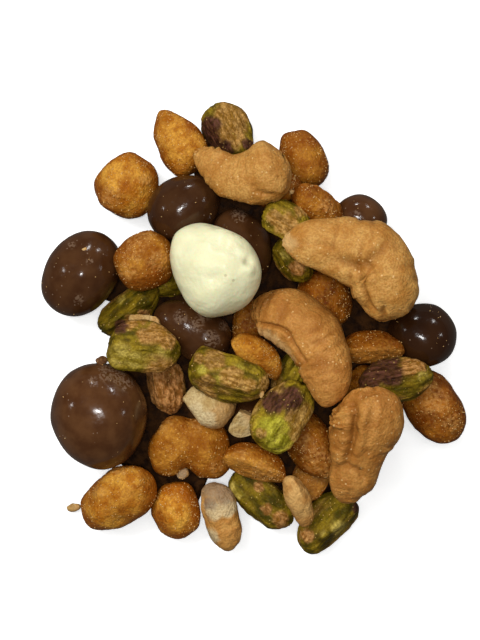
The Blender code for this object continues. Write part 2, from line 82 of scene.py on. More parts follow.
# Each piece: kind, x, y, turn, length, width, height, roll, pitch, and what is its own about its form.
# x and y place its middle. At turn 0 it lies along X; roll turns it about its length and pitch lifts
# its far end. They are in the order in which they are laid down, the lowest first.
PIECES = [
    # On the table round the edge, clockwise from the top
    ("pistachio", -5.3, 37.1, -62, 12.2, 9.3, 8.8, 20, 0, {}),
    ("peanut", 9.1, 32.0, -72, 11.8, 9.3, 9.0, 0, 0, {"taper": -0.10}),
    ("chocolate", 20.3, 20.8, -14, 10.1, 9.4, 9.0, 0, 0, {}),
    ("chocolate", 32.0, -1.5, -35, 13.2, 12.4, 11.6, 0, 0, {}),
    ("peanut", 34.2, -15.3, -54, 15.4, 10.4, 9.0, 0, 0, {"taper": -0.04}),
    ("pistachio", 13.9, -37.7, 48, 13.8, 8.6, 8.2, 0, 0, {"taper": -0.12, "facets": (40, 130, 250)}),
    ("pistachio", 1.5, -32.8, -45, 14.4, 8.9, 8.2, 0, 0, {"facets": (75, 150, -20, 230)}),
    ("chip", -5.8, -35.6, -80, 13.8, 6.9, 6.2, 0, 0, {"waist": 0.12, "cut": 0.96}),
    ("peanut", -14.5, -34.6, -80, 10.8, 9.1, 8.8, 0, 0, {}),
    ("peanut", -25.6, -33.4, 34, 16.0, 10.6, 9.6, 0, 0, {"waist": 0.03, "taper": -0.08}),
    ("chocolate", -29.5, -16.9, -85, 20.0, 18.3, 16.8, 0, 0, {}),
    ("chocolate", -33.1, 10.2, 50, 17.3, 13.8, 12.8, 0, 0, {"taper": -0.02}),
    ("peanut", -24.4, 27.2, 60, 12.4, 11.9, 9.6, 0, 0, {}),
    ("peanut", -14.9, 35.8, 121, 14.2, 9.2, 8.4, 0, 0, {"taper": 0.34, "tip": 1.0}),
    # On the table inside the heap, some of them hidden
    ("chocolate", -2.4, 15.8, -58, 14.4, 11.0, 10.6, 0, 0, {}),
    ("chocolate", -13.5, 23.2, 33, 14.6, 12.2, 11.8, 0, 0, {}),
    ("pistachio", -15.8, 8.6, 15, 9.0, 6.0, 5.6, 0, 0, {}),
    ("pistachio", -24.6, 4.0, 36, 13.6, 7.4, 7.4, 0, 0, {"facets": (55, 150, 240)}),
    ("peanut", -0.8, 1.0, 56, 9.6, 6.4, 6.0, 0, 0, {}),
    ("chocolate", -11.6, -0.2, -28, 16.0, 10.6, 9.4, 0, 0, {"taper": -0.12, "waist": 0.12}),
    ("chocolate", -2.6, -8.2, 20, 7.6, 7.0, 6.6, 0, 0, {}),
    ("peanut", 13.6, 5.4, -70, 11.4, 9.4, 8.8, 0, 0, {}),
    ("peanut", -12.4, -23.0, -6, 16.2, 11.8, 8.0, 0, 0, {"waist": 0.28, "bend": 84}),
    ("chip", -28.9, -6.9, 30, 2.2, 1.8, 1.6, 0, 0, {}),
    ("pistachio", -17.2, -11.8, -76, 11.2, 7.6, 7.4, 15, 0, {}),
    ("chocolate", 0.0, -17.0, 0, 9.0, 8.4, 8.0, 0, 0, {}),
    ("half", 10.8, -29.4, 62, 10.6, 6.8, 3.6, 180, 0, {}),
    ("peanut", 4.6, 27.0, 8, 9.6, 6.8, 6.4, 0, 0, {}),
    ("pistachio", 7.2, 12.0, -55, 9.4, 7.0, 6.8, 0, 0, {}),
    ("pistachio", 17.4, 14.0, -10, 12.0, 7.6, 7.2, 0, 0, {}),
    ("chocolate", 25.0, 8.0, -40, 9.6, 9.0, 8.6, 0, 0, {}),
    ("pistachio", 7.6, -9.4, 65, 11.4, 7.2, 6.8, 0, 0, {}),
    ("peanut", 20.4, -13.2, 80, 11.6, 8.4, 8.0, 0, 0, {}),
    ("half", 20.6, -24.4, -70, 11.0, 7.4, 4.6, 0, 0, {}),
    ("chip", -14.4, -27.6, 20, 2.4, 1.9, 1.7, 0, 0, {}),
    # The second layer
    ("half", 11.2, 22.9, -34, 11.6, 6.6, 5.4, 30, 0, {}),
    ("pistachio", 6.4, 19.9, -30, 9.8, 7.2, 6.8, 40, 0, {}),
    ("half", 22.6, -2.9, 5, 12.6, 6.4, 6.2, -100, 0, {}),
    ("chip", -21.0, 1.0, -14, 6.4, 4.2, 3.4, 0, 0, {}),
    ("chip", -8.6, -15.2, -40, 9.6, 8.4, 6.6, 0, 0, {"cut": 0.84}),
    ("chip", -2.0, -18.0, 20, 6.4, 5.6, 4.2, 0, 0, {"cut": 0.45}),
    ("half", 0.2, -26.0, -19, 12.6, 7.0, 6.0, -105, 0, {}),
    ("peanut", 10.8, -23.2, -60, 13.8, 9.0, 7.8, 0, 0, {"taper": 0.10}),
    ("chip", 7.6, -32.3, -64, 10.8, 4.7, 4.8, 0, 0, {"cut": 0.92}),
    ("pistachio", 26.0, -9.4, 11, 14.0, 8.4, 7.8, 0, 0, {"facets": (60, 130, 260)}),
    ("pistachio", -21.6, -3.6, -3, 13.8, 9.8, 8.2, 0, 0, {"facets": (55, 120, 190, 300)}),
    # On top
    ("peanut", -21.3, 12.4, 20, 11.3, 10.7, 9.6, 0, 0, {}),
    ("half", 0.3, -5.6, -40, 12.0, 6.0, 5.4, -70, 0, {"bend": 40}),
    ("pistachio", -4.9, -9.6, -20, 15.2, 9.0, 8.0, 0, 0, {"facets": (88, 20, 165, 270)}),
    ("pistachio", 4.9, -16.6, 56, 14.6, 9.8, 9.2, 0, 0, {"facets": (60, 125, 200, 320)}),
    ("cashew", -2.5, 28.4, 0, 18.7, 11.8, 9.2, 0, 0, {"spine": TOP_SPINE}),
    ("almond", -7.1, 11.9, -52, 18.6, 16.0, 14.2, 0, 0, {"taper": -0.16}),
    ("cashew", 20.8, -21.6, 0, 13.9, 22.8, 10.0, 0, 0, {"spine": LOW_SPINE}),
    ("cashew", 17.6, 10.8, 0, 25.2, 19.2, 10.6, 0, 0, {"spine": LARGE_SPINE}),
    ("cashew", 8.0, -4.4, 0, 19.8, 22.6, 9.8, 0, 0, {"spine": MIDDLE_SPINE}),
    # Loose crumbs
    ("chip", -34.5, -34.9, 8, 2.5, 1.4, 1.1, 0, 0, {"cut": 0.8}),
    ("chip", -22.8, -25.4, 40, 1.5, 1.0, 0.8, 0, 0, {}),
    ("chip", -32.2, 13.9, 10, 1.0, 0.7, 0.6, 0, 0, {}),
    ("chip", -13.8, -27.4, -60, 1.3, 0.9, 0.8, 0, 0, {}),
    ("chip", 6.4, 26.0, 20, 1.1, 0.9, 0.7, 0, 0, {}),
    ("chip", 0.6, -12.0, 70, 1.2, 0.7, 0.6, 0, 0, {}),
    ("chip", -15.0, -19.6, 15, 1.3, 1.0, 0.8, 0, 0, {}),
]

# How finely each kind's surface is cut, and how finely where it hardly shows or is only a crumb. Then
# how much of a piece is on top where it shows, and how deep below the top that still counts.
SURFACE_CUTS = {
    "chocolate": 30,
    "almond": 58,
    "cashew": 56,
    "peanut": 33,
    "half": 40,
    "pistachio": 33,
    "chip": 34,
}
HIDDEN_CUTS = 12
CRUMB_LENGTH = 3.0
SHOWING_SHARE = 0.03
TOP_DEPTH = 0.5

# How darkly each piece is roasted or shaded, from 0 to 1, by its place in the table above; 0.3 where none
# is given
# On the pieces in rows 3, 21, 23 and 26, which lie in shade, this darkness is painted shade as well.
ROASTS_AND_SHADE = {
    1: 0.60, 2: 0.10, 3: 1.0, 4: 0.95, 5: 0.70, 6: 0.75, 7: 0.85, 8: 0.10, 9: 0.30, 10: 0.0, 11: 0.38,
    12: 0.25, 13: 0.35, 14: 0.45, 15: 0.70, 17: 0.80, 18: 0.85, 19: 0.50, 20: 0.60, 21: 1.0, 22: 0.60,
    23: 1.0, 24: 0.95, 25: 0.60, 26: 1.0, 27: 0.80, 28: 0.80, 32: 0.95, 33: 1.0, 35: 0.75, 37: 0.95,
    39: 0.05, 40: 0.0, 41: 0.55, 42: 0.95, 43: 0.65, 44: 0.70, 45: 0.45, 46: 0.60, 47: 0.30, 48: 0.25,
    49: 0.05, 50: 0.25, 52: 0.70, 53: 0.20, 54: 0.75,
}
USUAL_ROAST = 0.3

# Folds and seams of the cashews: width, depth, and the line that each follows over the heap
# The deepest part of each fold is also darkened in the colour: painted shade.
CREASES = (
    (0.50, 0.55, ((0.1, 26.3), (0.7, 25.3), (1.6, 24.8), (2.9, 24.6), (4.0, 24.9), (5.1, 24.8))),
    (1.10, 0.90, ((13.9, 12.6), (16.4, 12.1), (18.6, 11.5), (20.1, 12.1), (21.8, 13.2), (23.1, 14.3))),
    (0.50, 0.70, ((18.6, 11.5), (19.4, 9.3), (20.1, 6.8), (20.9, 4.4), (22.4, 2.9), (23.7, 2.9))),
    (0.50, 0.40, ((20.3, 12.1), (21.8, 10.0), (22.0, 7.2), (22.4, 5.0))),
    (0.60, 0.80, ((23.4, 4.4), (23.7, 3.2), (23.9, 1.4))),
    (0.45, 0.60, ((20.3, 4.4), (20.1, 1.2))),
    (0.60, 0.22, ((8.6, 15.3), (10.6, 15.7), (13.2, 14.8), (15.4, 14.2))),
    (0.34, 0.80, ((-1.0, 1.5), (0.9, 1.1), (2.3, 0.6), (4.4, 0.3), (6.5, -1.2), (7.5, -2.9), (8.6, -4.7),
                  (9.5, -6.2))),
    (0.80, 1.50, ((18.1, -13.6), (18.4, -16.8), (18.1, -19.8), (17.4, -22.8), (17.0, -25.3))),
    (0.55, 0.70, ((17.0, -25.0), (18.1, -26.1), (19.5, -26.8), (20.1, -28.4))),
    (0.50, 0.55, ((17.0, -25.3), (15.8, -26.1), (14.7, -27.2))),
    (0.70, 0.45, ((21.4, -12.2), (22.0, -14.6), (20.8, -18.4), (20.6, -22.8))),
)

# Places over the heap, as x, y and reach. Pistachios: purple skin, tan film and bright green flesh
SKIN_PATCHES = (
    (-8.4, 38.4, 1.9), (-8.0, 36.0, 1.7), (-5.6, 34.0, 1.6), (-1.4, 35.0, 1.1), (21.7, -8.9, 3.0),
    (24.9, -8.0, 2.8), (3.4, -14.0, 2.0), (6.7, -13.1, 2.5), (19.4, -34.3, 1.0), (-25.2, 0.3, 1.4),
    (11.6, 13.4, 0.8),
)
FILM_PATCHES = (
    (-4.8, 39.6, 3.4), (-4.2, 36.8, 2.8), (-20.4, -1.3, 1.6), (-18.4, -1.0, 2.0), (-16.4, -2.4, 1.6),
    (-17.4, -9.8, 4.4), (-16.9, -14.0, 4.4), (-7.5, -5.8, 2.1), (-4.2, -9.3, 2.3), (-1.2, -10.6, 1.5),
    (-9.0, -10.2, 1.6), (3.2, -10.6, 2.3), (1.6, -13.4, 1.2), (9.0, -16.6, 2.8), (8.0, -20.0, 1.8),
    (5.9, 19.3, 2.1), (3.8, 20.6, 1.6), (8.6, 21.9, 1.3), (8.1, 11.3, 1.5), (5.0, -36.4, 1.6),
    (2.4, -34.4, 1.1), (0.9, -30.2, 1.0), (-23.4, 1.0, 1.5), (-21.0, 2.2, 1.3), (28.8, -7.2, 1.7),
    (30.8, -6.8, 1.4), (10.2, -39.6, 1.2), (1.2, -19.6, 1.0), (-10.4, -5.6, 1.0), (-8.4, -12.4, 1.2),
)
BRIGHT_PATCHES = (
    (3.2, -18.8, 2.6), (3.9, -21.0, 2.6), (-4.2, -30.4, 1.0), (-3.0, -31.6, 0.8), (-3.0, -7.8, 1.0),
    (-10.0, -7.6, 0.9), (-6.6, -9.4, 0.8), (-25.2, -5.0, 2.0), (-22.6, -5.9, 1.6), (-19.6, -6.4, 1.5),
    (-17.0, -4.6, 1.2), (5.8, 13.9, 1.0), (6.9, 15.4, 0.8), (31.4, -9.0, 0.9), (16.0, -38.0, 1.3),
    (13.2, -39.4, 0.8), (-25.6, 5.7, 0.9),
)
# Scuffed and dusty patches of the chocolates, crusts of sugar on the peanuts and pale lips of the cashews
SCUFFS = (
    (-27.6, -8.2, 1.7), (-25.6, -9.0, 1.3), (-24.0, -10.6, 1.1), (-30.3, -9.9, 0.8), (-9.5, 2.8, 1.5),
    (-11.0, 0.7, 1.3), (-8.0, -1.9, 1.6), (-14.1, 2.1, 1.2), (-5.4, 0.6, 1.2), (-2.9, 21.6, 1.4),
    (-33.1, 5.5, 0.9), (-34.6, 15.8, 0.7), (19.4, 21.8, 0.6), (-31.0, 12.6, 0.6),
)
CRUSTS = (
    (34.4, -14.1, 2.7), (37.6, -18.3, 1.9), (33.4, -10.6, 1.4), (-21.4, 16.7, 2.3), (-18.1, 12.6, 1.9),
    (-23.7, 10.7, 1.7), (-22.6, 14.0, 1.6), (12.2, -25.1, 2.7), (14.2, -27.4, 1.5), (10.0, -21.8, 1.6),
    (1.5, -27.1, 2.3), (-2.6, -24.0, 1.4), (-11.1, -18.9, 1.5), (-17.4, -18.1, 1.9), (-7.2, -26.8, 1.4),
    (13.3, 23.1, 1.5), (-25.9, -26.8, 1.7), (-29.4, -31.0, 1.2), (-27.6, 25.0, 1.8), (-20.8, 28.2, 1.2),
)
PALE_LIPS = (
    (0.4, -0.9, 1.1), (1.9, -1.3, 1.1), (3.4, -2.2, 1.1), (4.6, -3.3, 1.0), (5.7, -4.6, 1.0),
    (6.7, -5.9, 0.9), (5.3, 16.7, 1.5), (6.4, 15.8, 1.3),
)
# Where ribs run across the outer side of the middle cashew, and how fast they follow each other, in
# radians a half length of the cashew
RIBBED = ((13.4, -2.4, 4.0), (12.8, -7.4, 4.0))
RIBS = 50.0
# The grey-brown end, the pale belt and the tan belly of the long broken bit in front
GREY_ENDS = (
    (-8.0, -30.0, 2.8), (-6.0, -31.0, 2.4), (-8.4, -33.2, 1.4), (-14.3, -27.4, 1.5),
)
BARE_BELTS = (
    (-7.6, -34.6, 1.8), (-5.0, -34.2, 1.6), (-8.2, -39.6, 1.4), (-11.2, -15.6, 1.6), (-9.2, -17.6, 1.8),
)
# Dents of the yogurt coating: x, y, reach and depth, below zero where it stands up
COATING_DENTS = (
    (-1.4, 12.3, 0.8, 0.60), (-1.0, 10.8, 0.9, -0.35), (-6.7, 15.9, 1.6, 0.40), (-7.4, 9.1, 1.8, 0.45),
    (-13.4, 15.6, 1.6, 0.35), (-10.1, 5.8, 2.2, -0.30), (-3.6, 16.6, 1.8, -0.35), (-11.0, 12.2, 2.4, -0.30),
    (-5.2, 12.4, 1.6, -0.25), (-7.4, 19.6, 1.2, 0.25),
)
# The deepest of these dents, with painted shade inside it
SHADED_DENT = (-1.4, 12.3, 0.9)


def ball(cuts):
    """A unit ball as a blown-up cube: its points and its four-sided faces."""
    mesh = bmesh.new()
    bmesh.ops.create_cube(mesh, size=2.0)
    bmesh.ops.subdivide_edges(mesh, edges=mesh.edges[:], cuts=cuts, use_grid_fill=True)
    points = np.array([vertex.co[:] for vertex in mesh.verts])
    faces = np.array([[vertex.index for vertex in face.verts] for face in mesh.faces])
    mesh.free()
    points = np.tan(points * math.pi / 4)
    return points / np.linalg.norm(points, axis=1)[:, None], faces


def waves(points, seed, size, count=14):
    """Smooth unevenness of about one unit: seeded plane waves, about size long."""
    draw = np.random.default_rng(seed)
    pull = draw.normal(size=(3, count)) * 2.2 / size
    return np.sin(points @ pull + draw.uniform(0, 2 * math.pi, count)).sum(1) / math.sqrt(count / 2)


def drawn_out(points, blunt, tip, taper, waist):
    """A ball made into a kernel along x: blunt end behind, tip ahead, thinner one way, with a waist."""
    x = points[:, 0]
    ring = np.hypot(points[:, 1], points[:, 2])
    power = blunt + (tip - blunt) * (x + 1) / 2
    scale = np.maximum(ring, 1e-6) ** (power - 1)
    scale = scale * (1 - taper * x) * (1 - waist * np.exp(-((x / 0.35) ** 2)))
    return np.column_stack([x, points[:, 1] * scale, points[:, 2] * scale])


def bent(points, degrees):
    """A body of length 2 along x, bent through an arc: its ends turn towards -y."""
    if not degrees:
        return points
    radius = 2 / math.radians(degrees)
    angle = points[:, 0] / radius
    reach = radius + points[:, 1]
    return np.column_stack([reach * np.sin(angle), reach * np.cos(angle), points[:, 2]])


def lumpy(points, seed, height, size):
    return points * (1 + height * waves(points, seed, size))[:, None]


def chocolate(ball_points, seed, taper=0.04, waist=0.0):
    return drawn_out(lumpy(ball_points, seed, 0.022, 1.1), 0.97, 0.97, taper, waist)


def almond(ball_points, seed, taper=0.1):
    return drawn_out(lumpy(ball_points, seed, 0.030, 0.9), 0.96, 1.0, taper, 0.0)


def peanut(ball_points, seed, taper=0.05, tip=0.92, waist=0.02, bend=0):
    body = drawn_out(lumpy(ball_points, seed, 0.030, 0.8), 0.84, tip, taper, waist)
    if bend:
        body[:, 1:] *= SLENDER
    return bent(body, bend)


def half(ball_points, seed, taper=0.06, bend=0):
    """Half a peanut: its lower side is the flat that it split along."""
    body = drawn_out(lumpy(ball_points, seed, 0.025, 0.8), 0.84, 1.0, taper, 0.0)
    body[:, 2] = np.where(body[:, 2] < 0, body[:, 2] * 0.30, body[:, 2])
    body[:, 1:] *= SLENDER
    return bent(body, bend)


def pistachio(ball_points, seed, taper=0.10, facets=(50, 140, 260)):
    """A kernel with a blunt end, a pointed end and the line where its two halves meet.

    It was pressed flat towards each of the facets, given as degrees about its length from +y."""
    body = drawn_out(lumpy(ball_points, seed, 0.022, 0.8), 0.86, 1.12, taper, 0.0)
    around = np.arctan2(ball_points[:, 2], np.abs(ball_points[:, 1]))
    groove = 1 - 0.05 * np.exp(-((around / 0.22) ** 2))
    body[:, 1:] *= groove[:, None]
    for degrees in facets:
        facing = np.array((0.0, math.cos(math.radians(degrees)), math.sin(math.radians(degrees))))
        beyond = np.maximum(body @ facing - FACET_DEPTH, 0)
        body -= np.outer(beyond * FACET_PRESS, facing)
    return body


def along(spine, share):
    """The place and half width at each share of the way along the smooth curve through a spine."""
    stations = np.array(spine)
    spans = len(stations) - 1
    span = np.clip((share * spans).astype(int), 0, spans - 1)
    u = (share * spans - span)[:, None]
    before, after = 2 * stations[0] - stations[1], 2 * stations[-1] - stations[-2]
    knots = np.vstack([before, stations, after])
    a, b, c, d = (knots[span + step] for step in range(4))
    return b + 0.5 * u * (c - a + u * (2 * a - 5 * b + 4 * c - d + u * (3 * (b - c) + d - a)))


def cashew(ball_points, seed, spine):
    """A thick crescent along its spine, with a seam along the inner side of its bend."""
    ball_points = lumpy(ball_points, seed, 0.020, 0.9)
    ball_points /= np.abs(ball_points[:, 0]).max()
    x = ball_points[:, 0]
    share = (x + 1) / 2
    step = 0.01
    ahead, behind = along(spine, np.minimum(share + step, 1)), along(spine, np.maximum(share - step, 0))
    heading = (ahead - behind)[:, :2]
    heading /= np.linalg.norm(heading, axis=1)[:, None]
    middle = along(spine, share)
    ring = np.maximum(np.hypot(ball_points[:, 1], ball_points[:, 2]), 1e-6)
    round_end = np.sqrt(np.maximum(1 - x**8, 0))
    around = np.arctan2(ball_points[:, 2], ball_points[:, 1])
    seam = 0.14 * np.exp(-(((math.pi - np.abs(around)) / 0.35) ** 2))
    across = ball_points[:, 1] / ring * middle[:, 2] * round_end * (1 - seam)
    up = ball_points[:, 2] / ring * middle[:, 2] * round_end
    return np.column_stack(
        [middle[:, 0] - heading[:, 1] * across, middle[:, 1] + heading[:, 0] * across, up]
    )


def chip(ball_points, seed, cut=0.62, waist=0.0):
    """A broken bit: a kernel with a few flat faces broken off it."""
    body = drawn_out(lumpy(ball_points, seed, 0.03, 0.8), 0.80, 0.80, 0.0, waist)
    draw = np.random.default_rng(seed + 1000)
    for _ in range(4):
        facing = draw.normal(size=3) * (0.4, 1.0, 1.0)
        facing /= np.linalg.norm(facing)
        beyond = np.maximum(body @ facing - cut, 0)
        body -= np.outer(beyond * 0.85, facing)
    return body


FORMS = {
    "chocolate": chocolate,
    "almond": almond,
    "peanut": peanut,
    "half": half,
    "pistachio": pistachio,
    "cashew": cashew,
    "chip": chip,
}


def turned(roll, pitch, turn):
    """The rotation that rolls a piece about its length, lifts its far end and turns it in plan."""
    roll, pitch, turn = (math.radians(angle) for angle in (roll, pitch, turn))
    return np.array(Euler((roll, -pitch, turn), "XYZ").to_matrix())


class Piece:
    """One piece of the mix: its form at its true size, and where it lies."""

    def __init__(self, row, seed, cloud_ball):
        self.kind, x, y, turn, length, width, height, roll, pitch, self.own = row
        self.seed = seed
        self.size = np.array([length, width, height])
        self.rotation = turned(roll, pitch, turn)
        self.place = np.array([x - MIDDLE[0], y - MIDDLE[1], 0.0])
        raw = FORMS[self.kind](cloud_ball, seed, **self.own)
        self.low, self.high = raw.min(0), raw.max(0)
        self.cloud = self.form(cloud_ball)

    def form(self, ball_points):
        """The piece about its own middle, along x, at its true length, width and height."""
        raw = FORMS[self.kind](ball_points, self.seed, **self.own)
        return (raw - (self.low + self.high) / 2) / (self.high - self.low) * self.size

    def laid(self, local):
        """Points of the piece where they lie in the heap."""
        return local @ self.rotation.T + self.place

    def shows(self, relief):
        """Whether enough of the piece is the heap's upper side."""
        cloud = self.laid(self.cloud)
        on_top = cloud[:, 2] > relief[cells_of(cloud[:, 0], cloud[:, 1])] - TOP_DEPTH
        return on_top.mean() > SHOWING_SHARE


def cells_of(x, y):
    """The cell of the relief map under each point."""
    return (
        ((x + MAP_HALF_SIDE) / MAP_CELL).astype(int),
        ((y + MAP_HALF_SIDE) / MAP_CELL).astype(int),
    )


def lay_down(pieces):
    """Drops each piece straight down on those before it, tipped and slid to where it lies lowest.

    Returns the relief map of the whole heap: the height of its upper side over each cell."""
    side = int(2 * MAP_HALF_SIDE / MAP_CELL)
    relief = np.zeros((side, side))
    for piece in pieces:
        support = np.maximum(relief - SINK, FLOOR_GAP)
        best = None
        for tip_x in TIPS:
            for tip_y in TIPS:
                tip = np.array(Euler((math.radians(tip_x), math.radians(tip_y), 0)).to_matrix())
                rotation = tip @ piece.rotation
                cloud = piece.cloud @ rotation.T
                for slide_x in SLIDES:
                    for slide_y in SLIDES:
                        at = piece.place + (slide_x, slide_y, 0)
                        column, row = cells_of(cloud[:, 0] + at[0], cloud[:, 1] + at[1])
                        height = (support[column, row] - cloud[:, 2]).max()
                        cost = height + TIP_COST * (abs(tip_x) + abs(tip_y))
                        cost += SLIDE_COST * (abs(slide_x) + abs(slide_y))
                        if best is None or cost < best[0] - 1e-6:
                            best = (cost, rotation, at + (0, 0, height))
        piece.rotation, piece.place = best[1], best[2]
        cloud = piece.laid(piece.cloud)
        np.maximum.at(relief, cells_of(cloud[:, 0], cloud[:, 1]), cloud[:, 2])
    return relief


def hashed(cells, seed):
    """A number from 0 to 1 that belongs to each whole-numbered cell."""
    mixed = cells @ np.array((73856093, 19349663, 83492791)) + seed * 26544357
    mixed = (mixed ^ (mixed >> 13)) * 1274126177 & 0xFFFFFFFF
    mixed = (mixed ^ (mixed >> 15)) * 668265263 & 0xFFFFFFFF
    return ((mixed ^ (mixed >> 14)) & 0xFFFFFF) / 0xFFFFFF


def noise(points, size, seed):
    """Smooth unevenness from -1 to 1, about size long."""
    scaled = points / size
    cell = np.floor(scaled).astype(np.int64)
    part = scaled - cell
    part = part * part * (3 - 2 * part)
    total = np.zeros(len(points))
    for corner in product((0, 1), repeat=3):
        weight = np.where(corner, part, 1 - part).prod(1)
        total += weight * hashed(cell + corner, seed)
    return 2 * total - 1


def rough_noise(points, size, seed, layers=3):
    """Unevenness from about -1 to 1 with finer unevenness on it."""
    shares = [0.5**layer for layer in range(layers)]
    total = sum(share * noise(points, size * share, seed + layer) for layer, share in enumerate(shares))
    return total / sum(shares)


def grains(points, size, seed):
    """Distance to the nearest and the next nearest of scattered grains, in grain sizes."""
    scaled = points / size
    cell = np.floor(scaled).astype(np.int64)
    nearest = np.full(len(points), 9.0)
    second = np.full(len(points), 9.0)
    for step in product((-1, 0, 1), repeat=3):
        at = cell + step
        seat = at + np.column_stack([hashed(at, seed + axis) for axis in range(3)])
        distance = np.linalg.norm(scaled - seat, axis=1)
        second = np.minimum(second, np.maximum(nearest, distance))
        nearest = np.minimum(nearest, distance)
    return nearest, second


def ramp(value, low, high):
    """0 below low, 1 above high, and smooth between."""
    share = np.clip((value - low) / (high - low), 0, 1)
    return share * share * (3 - 2 * share)


def normals_of(points, faces):
    """The outward direction of the surface at each point."""
    a, b, c, d = (points[faces[:, corner]] for corner in range(4))
    facing = np.cross(c - a, d - b)
    total = np.zeros_like(points)
    for corner in range(4):
        np.add.at(total, faces[:, corner], facing)
    return total / np.maximum(np.linalg.norm(total, axis=1), 1e-9)[:, None]


def patched(patches, laid, upward, seed, edge=0.10):
    """Where ragged patches lie on the upper side of the heap, from 0 to 1; edge is how soft they end."""
    mask = np.zeros(len(laid))
    for x, y, reach in patches:
        distance = np.hypot(laid[:, 0] - x, laid[:, 1] - y) / reach
        near = distance < 2.2
        ragged = 0.40 * rough_noise(laid[near], reach * 0.6, seed, 3)
        mask[near] = np.maximum(mask[near], ramp(1 - distance[near] + ragged, -edge, edge))
    return mask * ramp(upward, -0.2, 0.1)


def creased(creases, laid, upward, seed):
    """How deep the folds lie below the surface, negative on their raised shoulders."""
    wander = np.column_stack([rough_noise(laid, 2.2, seed + shift, 2) for shift in (0, 50)])
    spot = laid[:, :2] + 0.45 * wander
    depth = np.zeros(len(laid))
    for width, deep, line in creases:
        line = np.array(line)
        runs = np.linalg.norm(line[1:] - line[:-1], axis=1)
        passed = np.concatenate([[0], np.cumsum(runs)]) / runs.sum()
        nearest = np.full(len(laid), 99.0)
        share = np.zeros(len(laid))
        for start, end, low, high in zip(line, line[1:], passed, passed[1:]):
            run = end - start
            way = np.clip((spot - start) @ run / (run @ run), 0, 1)
            distance = np.linalg.norm(spot - start - way[:, None] * run, axis=1)
            share = np.where(distance < nearest, low + way * (high - low), share)
            nearest = np.minimum(nearest, distance)
        fade = np.sqrt(np.sin(math.pi * np.clip(share, 0.06, 0.94)))
        fold = np.exp(-((nearest / width) ** 2)) - 0.10 * np.exp(-(((nearest - 2.0 * width) / width) ** 2))
        depth += deep * fade * fold
    return depth * ramp(upward, -0.1, 0.3)


class Surface:
    """The finely cut surface of one piece while its relief and its masks are worked out."""

    def __init__(self, piece, cuts):
        self.piece = piece
        self.unit, self.faces = ball(cuts)
        self.local = piece.form(self.unit)
        self.normals = normals_of(self.local, self.faces)
        self.seed = piece.seed * 17
        self.around = np.arctan2(self.unit[:, 2], self.unit[:, 1])
        self.upward = (self.normals @ piece.rotation.T)[:, 2]
        self.laid = piece.laid(self.local)

    def drawn(self, steps, turns):
        """Noise coordinates with this many steps along the piece and this reach round it."""
        return np.column_stack(
            [self.unit[:, 0] * steps, np.cos(self.around) * turns, np.sin(self.around) * turns]
        )

    def raised(self, height):
        """The laid surface with this relief on it."""
        return self.piece.laid(self.local + self.normals * height[:, None])


def chocolate_surface(surface):
    scuff = patched(SCUFFS, surface.laid, surface.upward, surface.seed, 0.3)
    height = 0.20 * noise(surface.local, 4.2, surface.seed)
    height += 0.030 * noise(surface.local, 1.7, surface.seed + 1)
    height += scuff * 0.10 * rough_noise(surface.local, 0.6, surface.seed + 2)
    return height, {"mark": scuff}


def almond_surface(surface):
    height = 0.20 * noise(surface.local, 4.6, surface.seed)
    height += 0.10 * noise(surface.local, 2.1, surface.seed + 1)
    height += 0.03 * noise(surface.local, 0.9, surface.seed + 2)
    for x, y, reach, deep in COATING_DENTS:
        distance = np.hypot(surface.laid[:, 0] - x, surface.laid[:, 1] - y) / reach
        height -= deep * np.exp(-(distance**2)) * ramp(surface.upward, 0.0, 0.3)
    x, y, reach = SHADED_DENT
    distance = np.hypot(surface.laid[:, 0] - x, surface.laid[:, 1] - y) / reach
    return height, {"mark": ramp(1 - distance, 0.0, 0.8)}


def cashew_surface(surface):
    folds = creased(CREASES, surface.laid, surface.upward, surface.seed)
    wrinkles = noise(surface.drawn(16.0, 1.3), 1.0, surface.seed)
    wrinkles += 0.6 * noise(surface.drawn(30.0, 2.2), 1.0, surface.seed + 1)
    puckered = ramp(noise(surface.local, 5.0, surface.seed + 2), -0.4, 0.5)
    wander = 2.2 * noise(surface.local, 3.0, surface.seed + 7)
    ribbed = patched(RIBBED, surface.laid, surface.upward, surface.seed + 8, 0.6)
    ribs = ribbed * np.sin(RIBS * surface.unit[:, 0] + wander)
    height = 0.22 * noise(surface.local, 4.5, surface.seed + 3)
    height += 0.36 * wrinkles * puckered + 0.10 * ribs
    height += 0.08 * rough_noise(surface.local, 1.5, surface.seed + 4)
    height += 0.035 * noise(surface.local, 0.5, surface.seed + 6)
    height -= folds
    lip = patched(PALE_LIPS, surface.laid, surface.upward, surface.seed + 5, 0.6)
    # Ridge height, from which the material paints shade into the grooves between ridges.
    painted_light_share = 0.5 + 0.4 * wrinkles * puckered + 0.25 * ribs
    # The folds' mask marks where shade is painted into them.
    return height, {"mark": ramp(folds, 0.10, 0.90), "bright": lip, "painted_light_share": painted_light_share}


def peanut_surface(surface):
    crust = patched(CRUSTS, surface.laid, surface.upward, surface.seed, 0.35)
    coat = ramp(noise(surface.local, 3.6, surface.seed + 1), -0.6, 0.5)
    grain = 1 - np.minimum(grains(surface.local, 0.55, surface.seed + 2)[0] / 0.75, 1)
    height = 0.32 * noise(surface.local, 3.2, surface.seed)
    height += 0.09 * rough_noise(surface.local, 1.3, surface.seed + 5)
    height += (0.10 * coat + 0.26 * crust) * grain
    # Places facing up are painted golden and the sides caramel, as light from above would show them:
    # painted light and shade, mixed with a swirl of the coat's own unevenness.
    swirl = 0.7 * rough_noise(surface.local, 3.4, surface.seed + 6, 2)
    lit_golden = ramp(surface.upward + swirl, 0.30, 1.10)
    return height, {"mark": crust, "film": grain * (0.3 + 0.7 * coat), "painted_light_share": lit_golden}


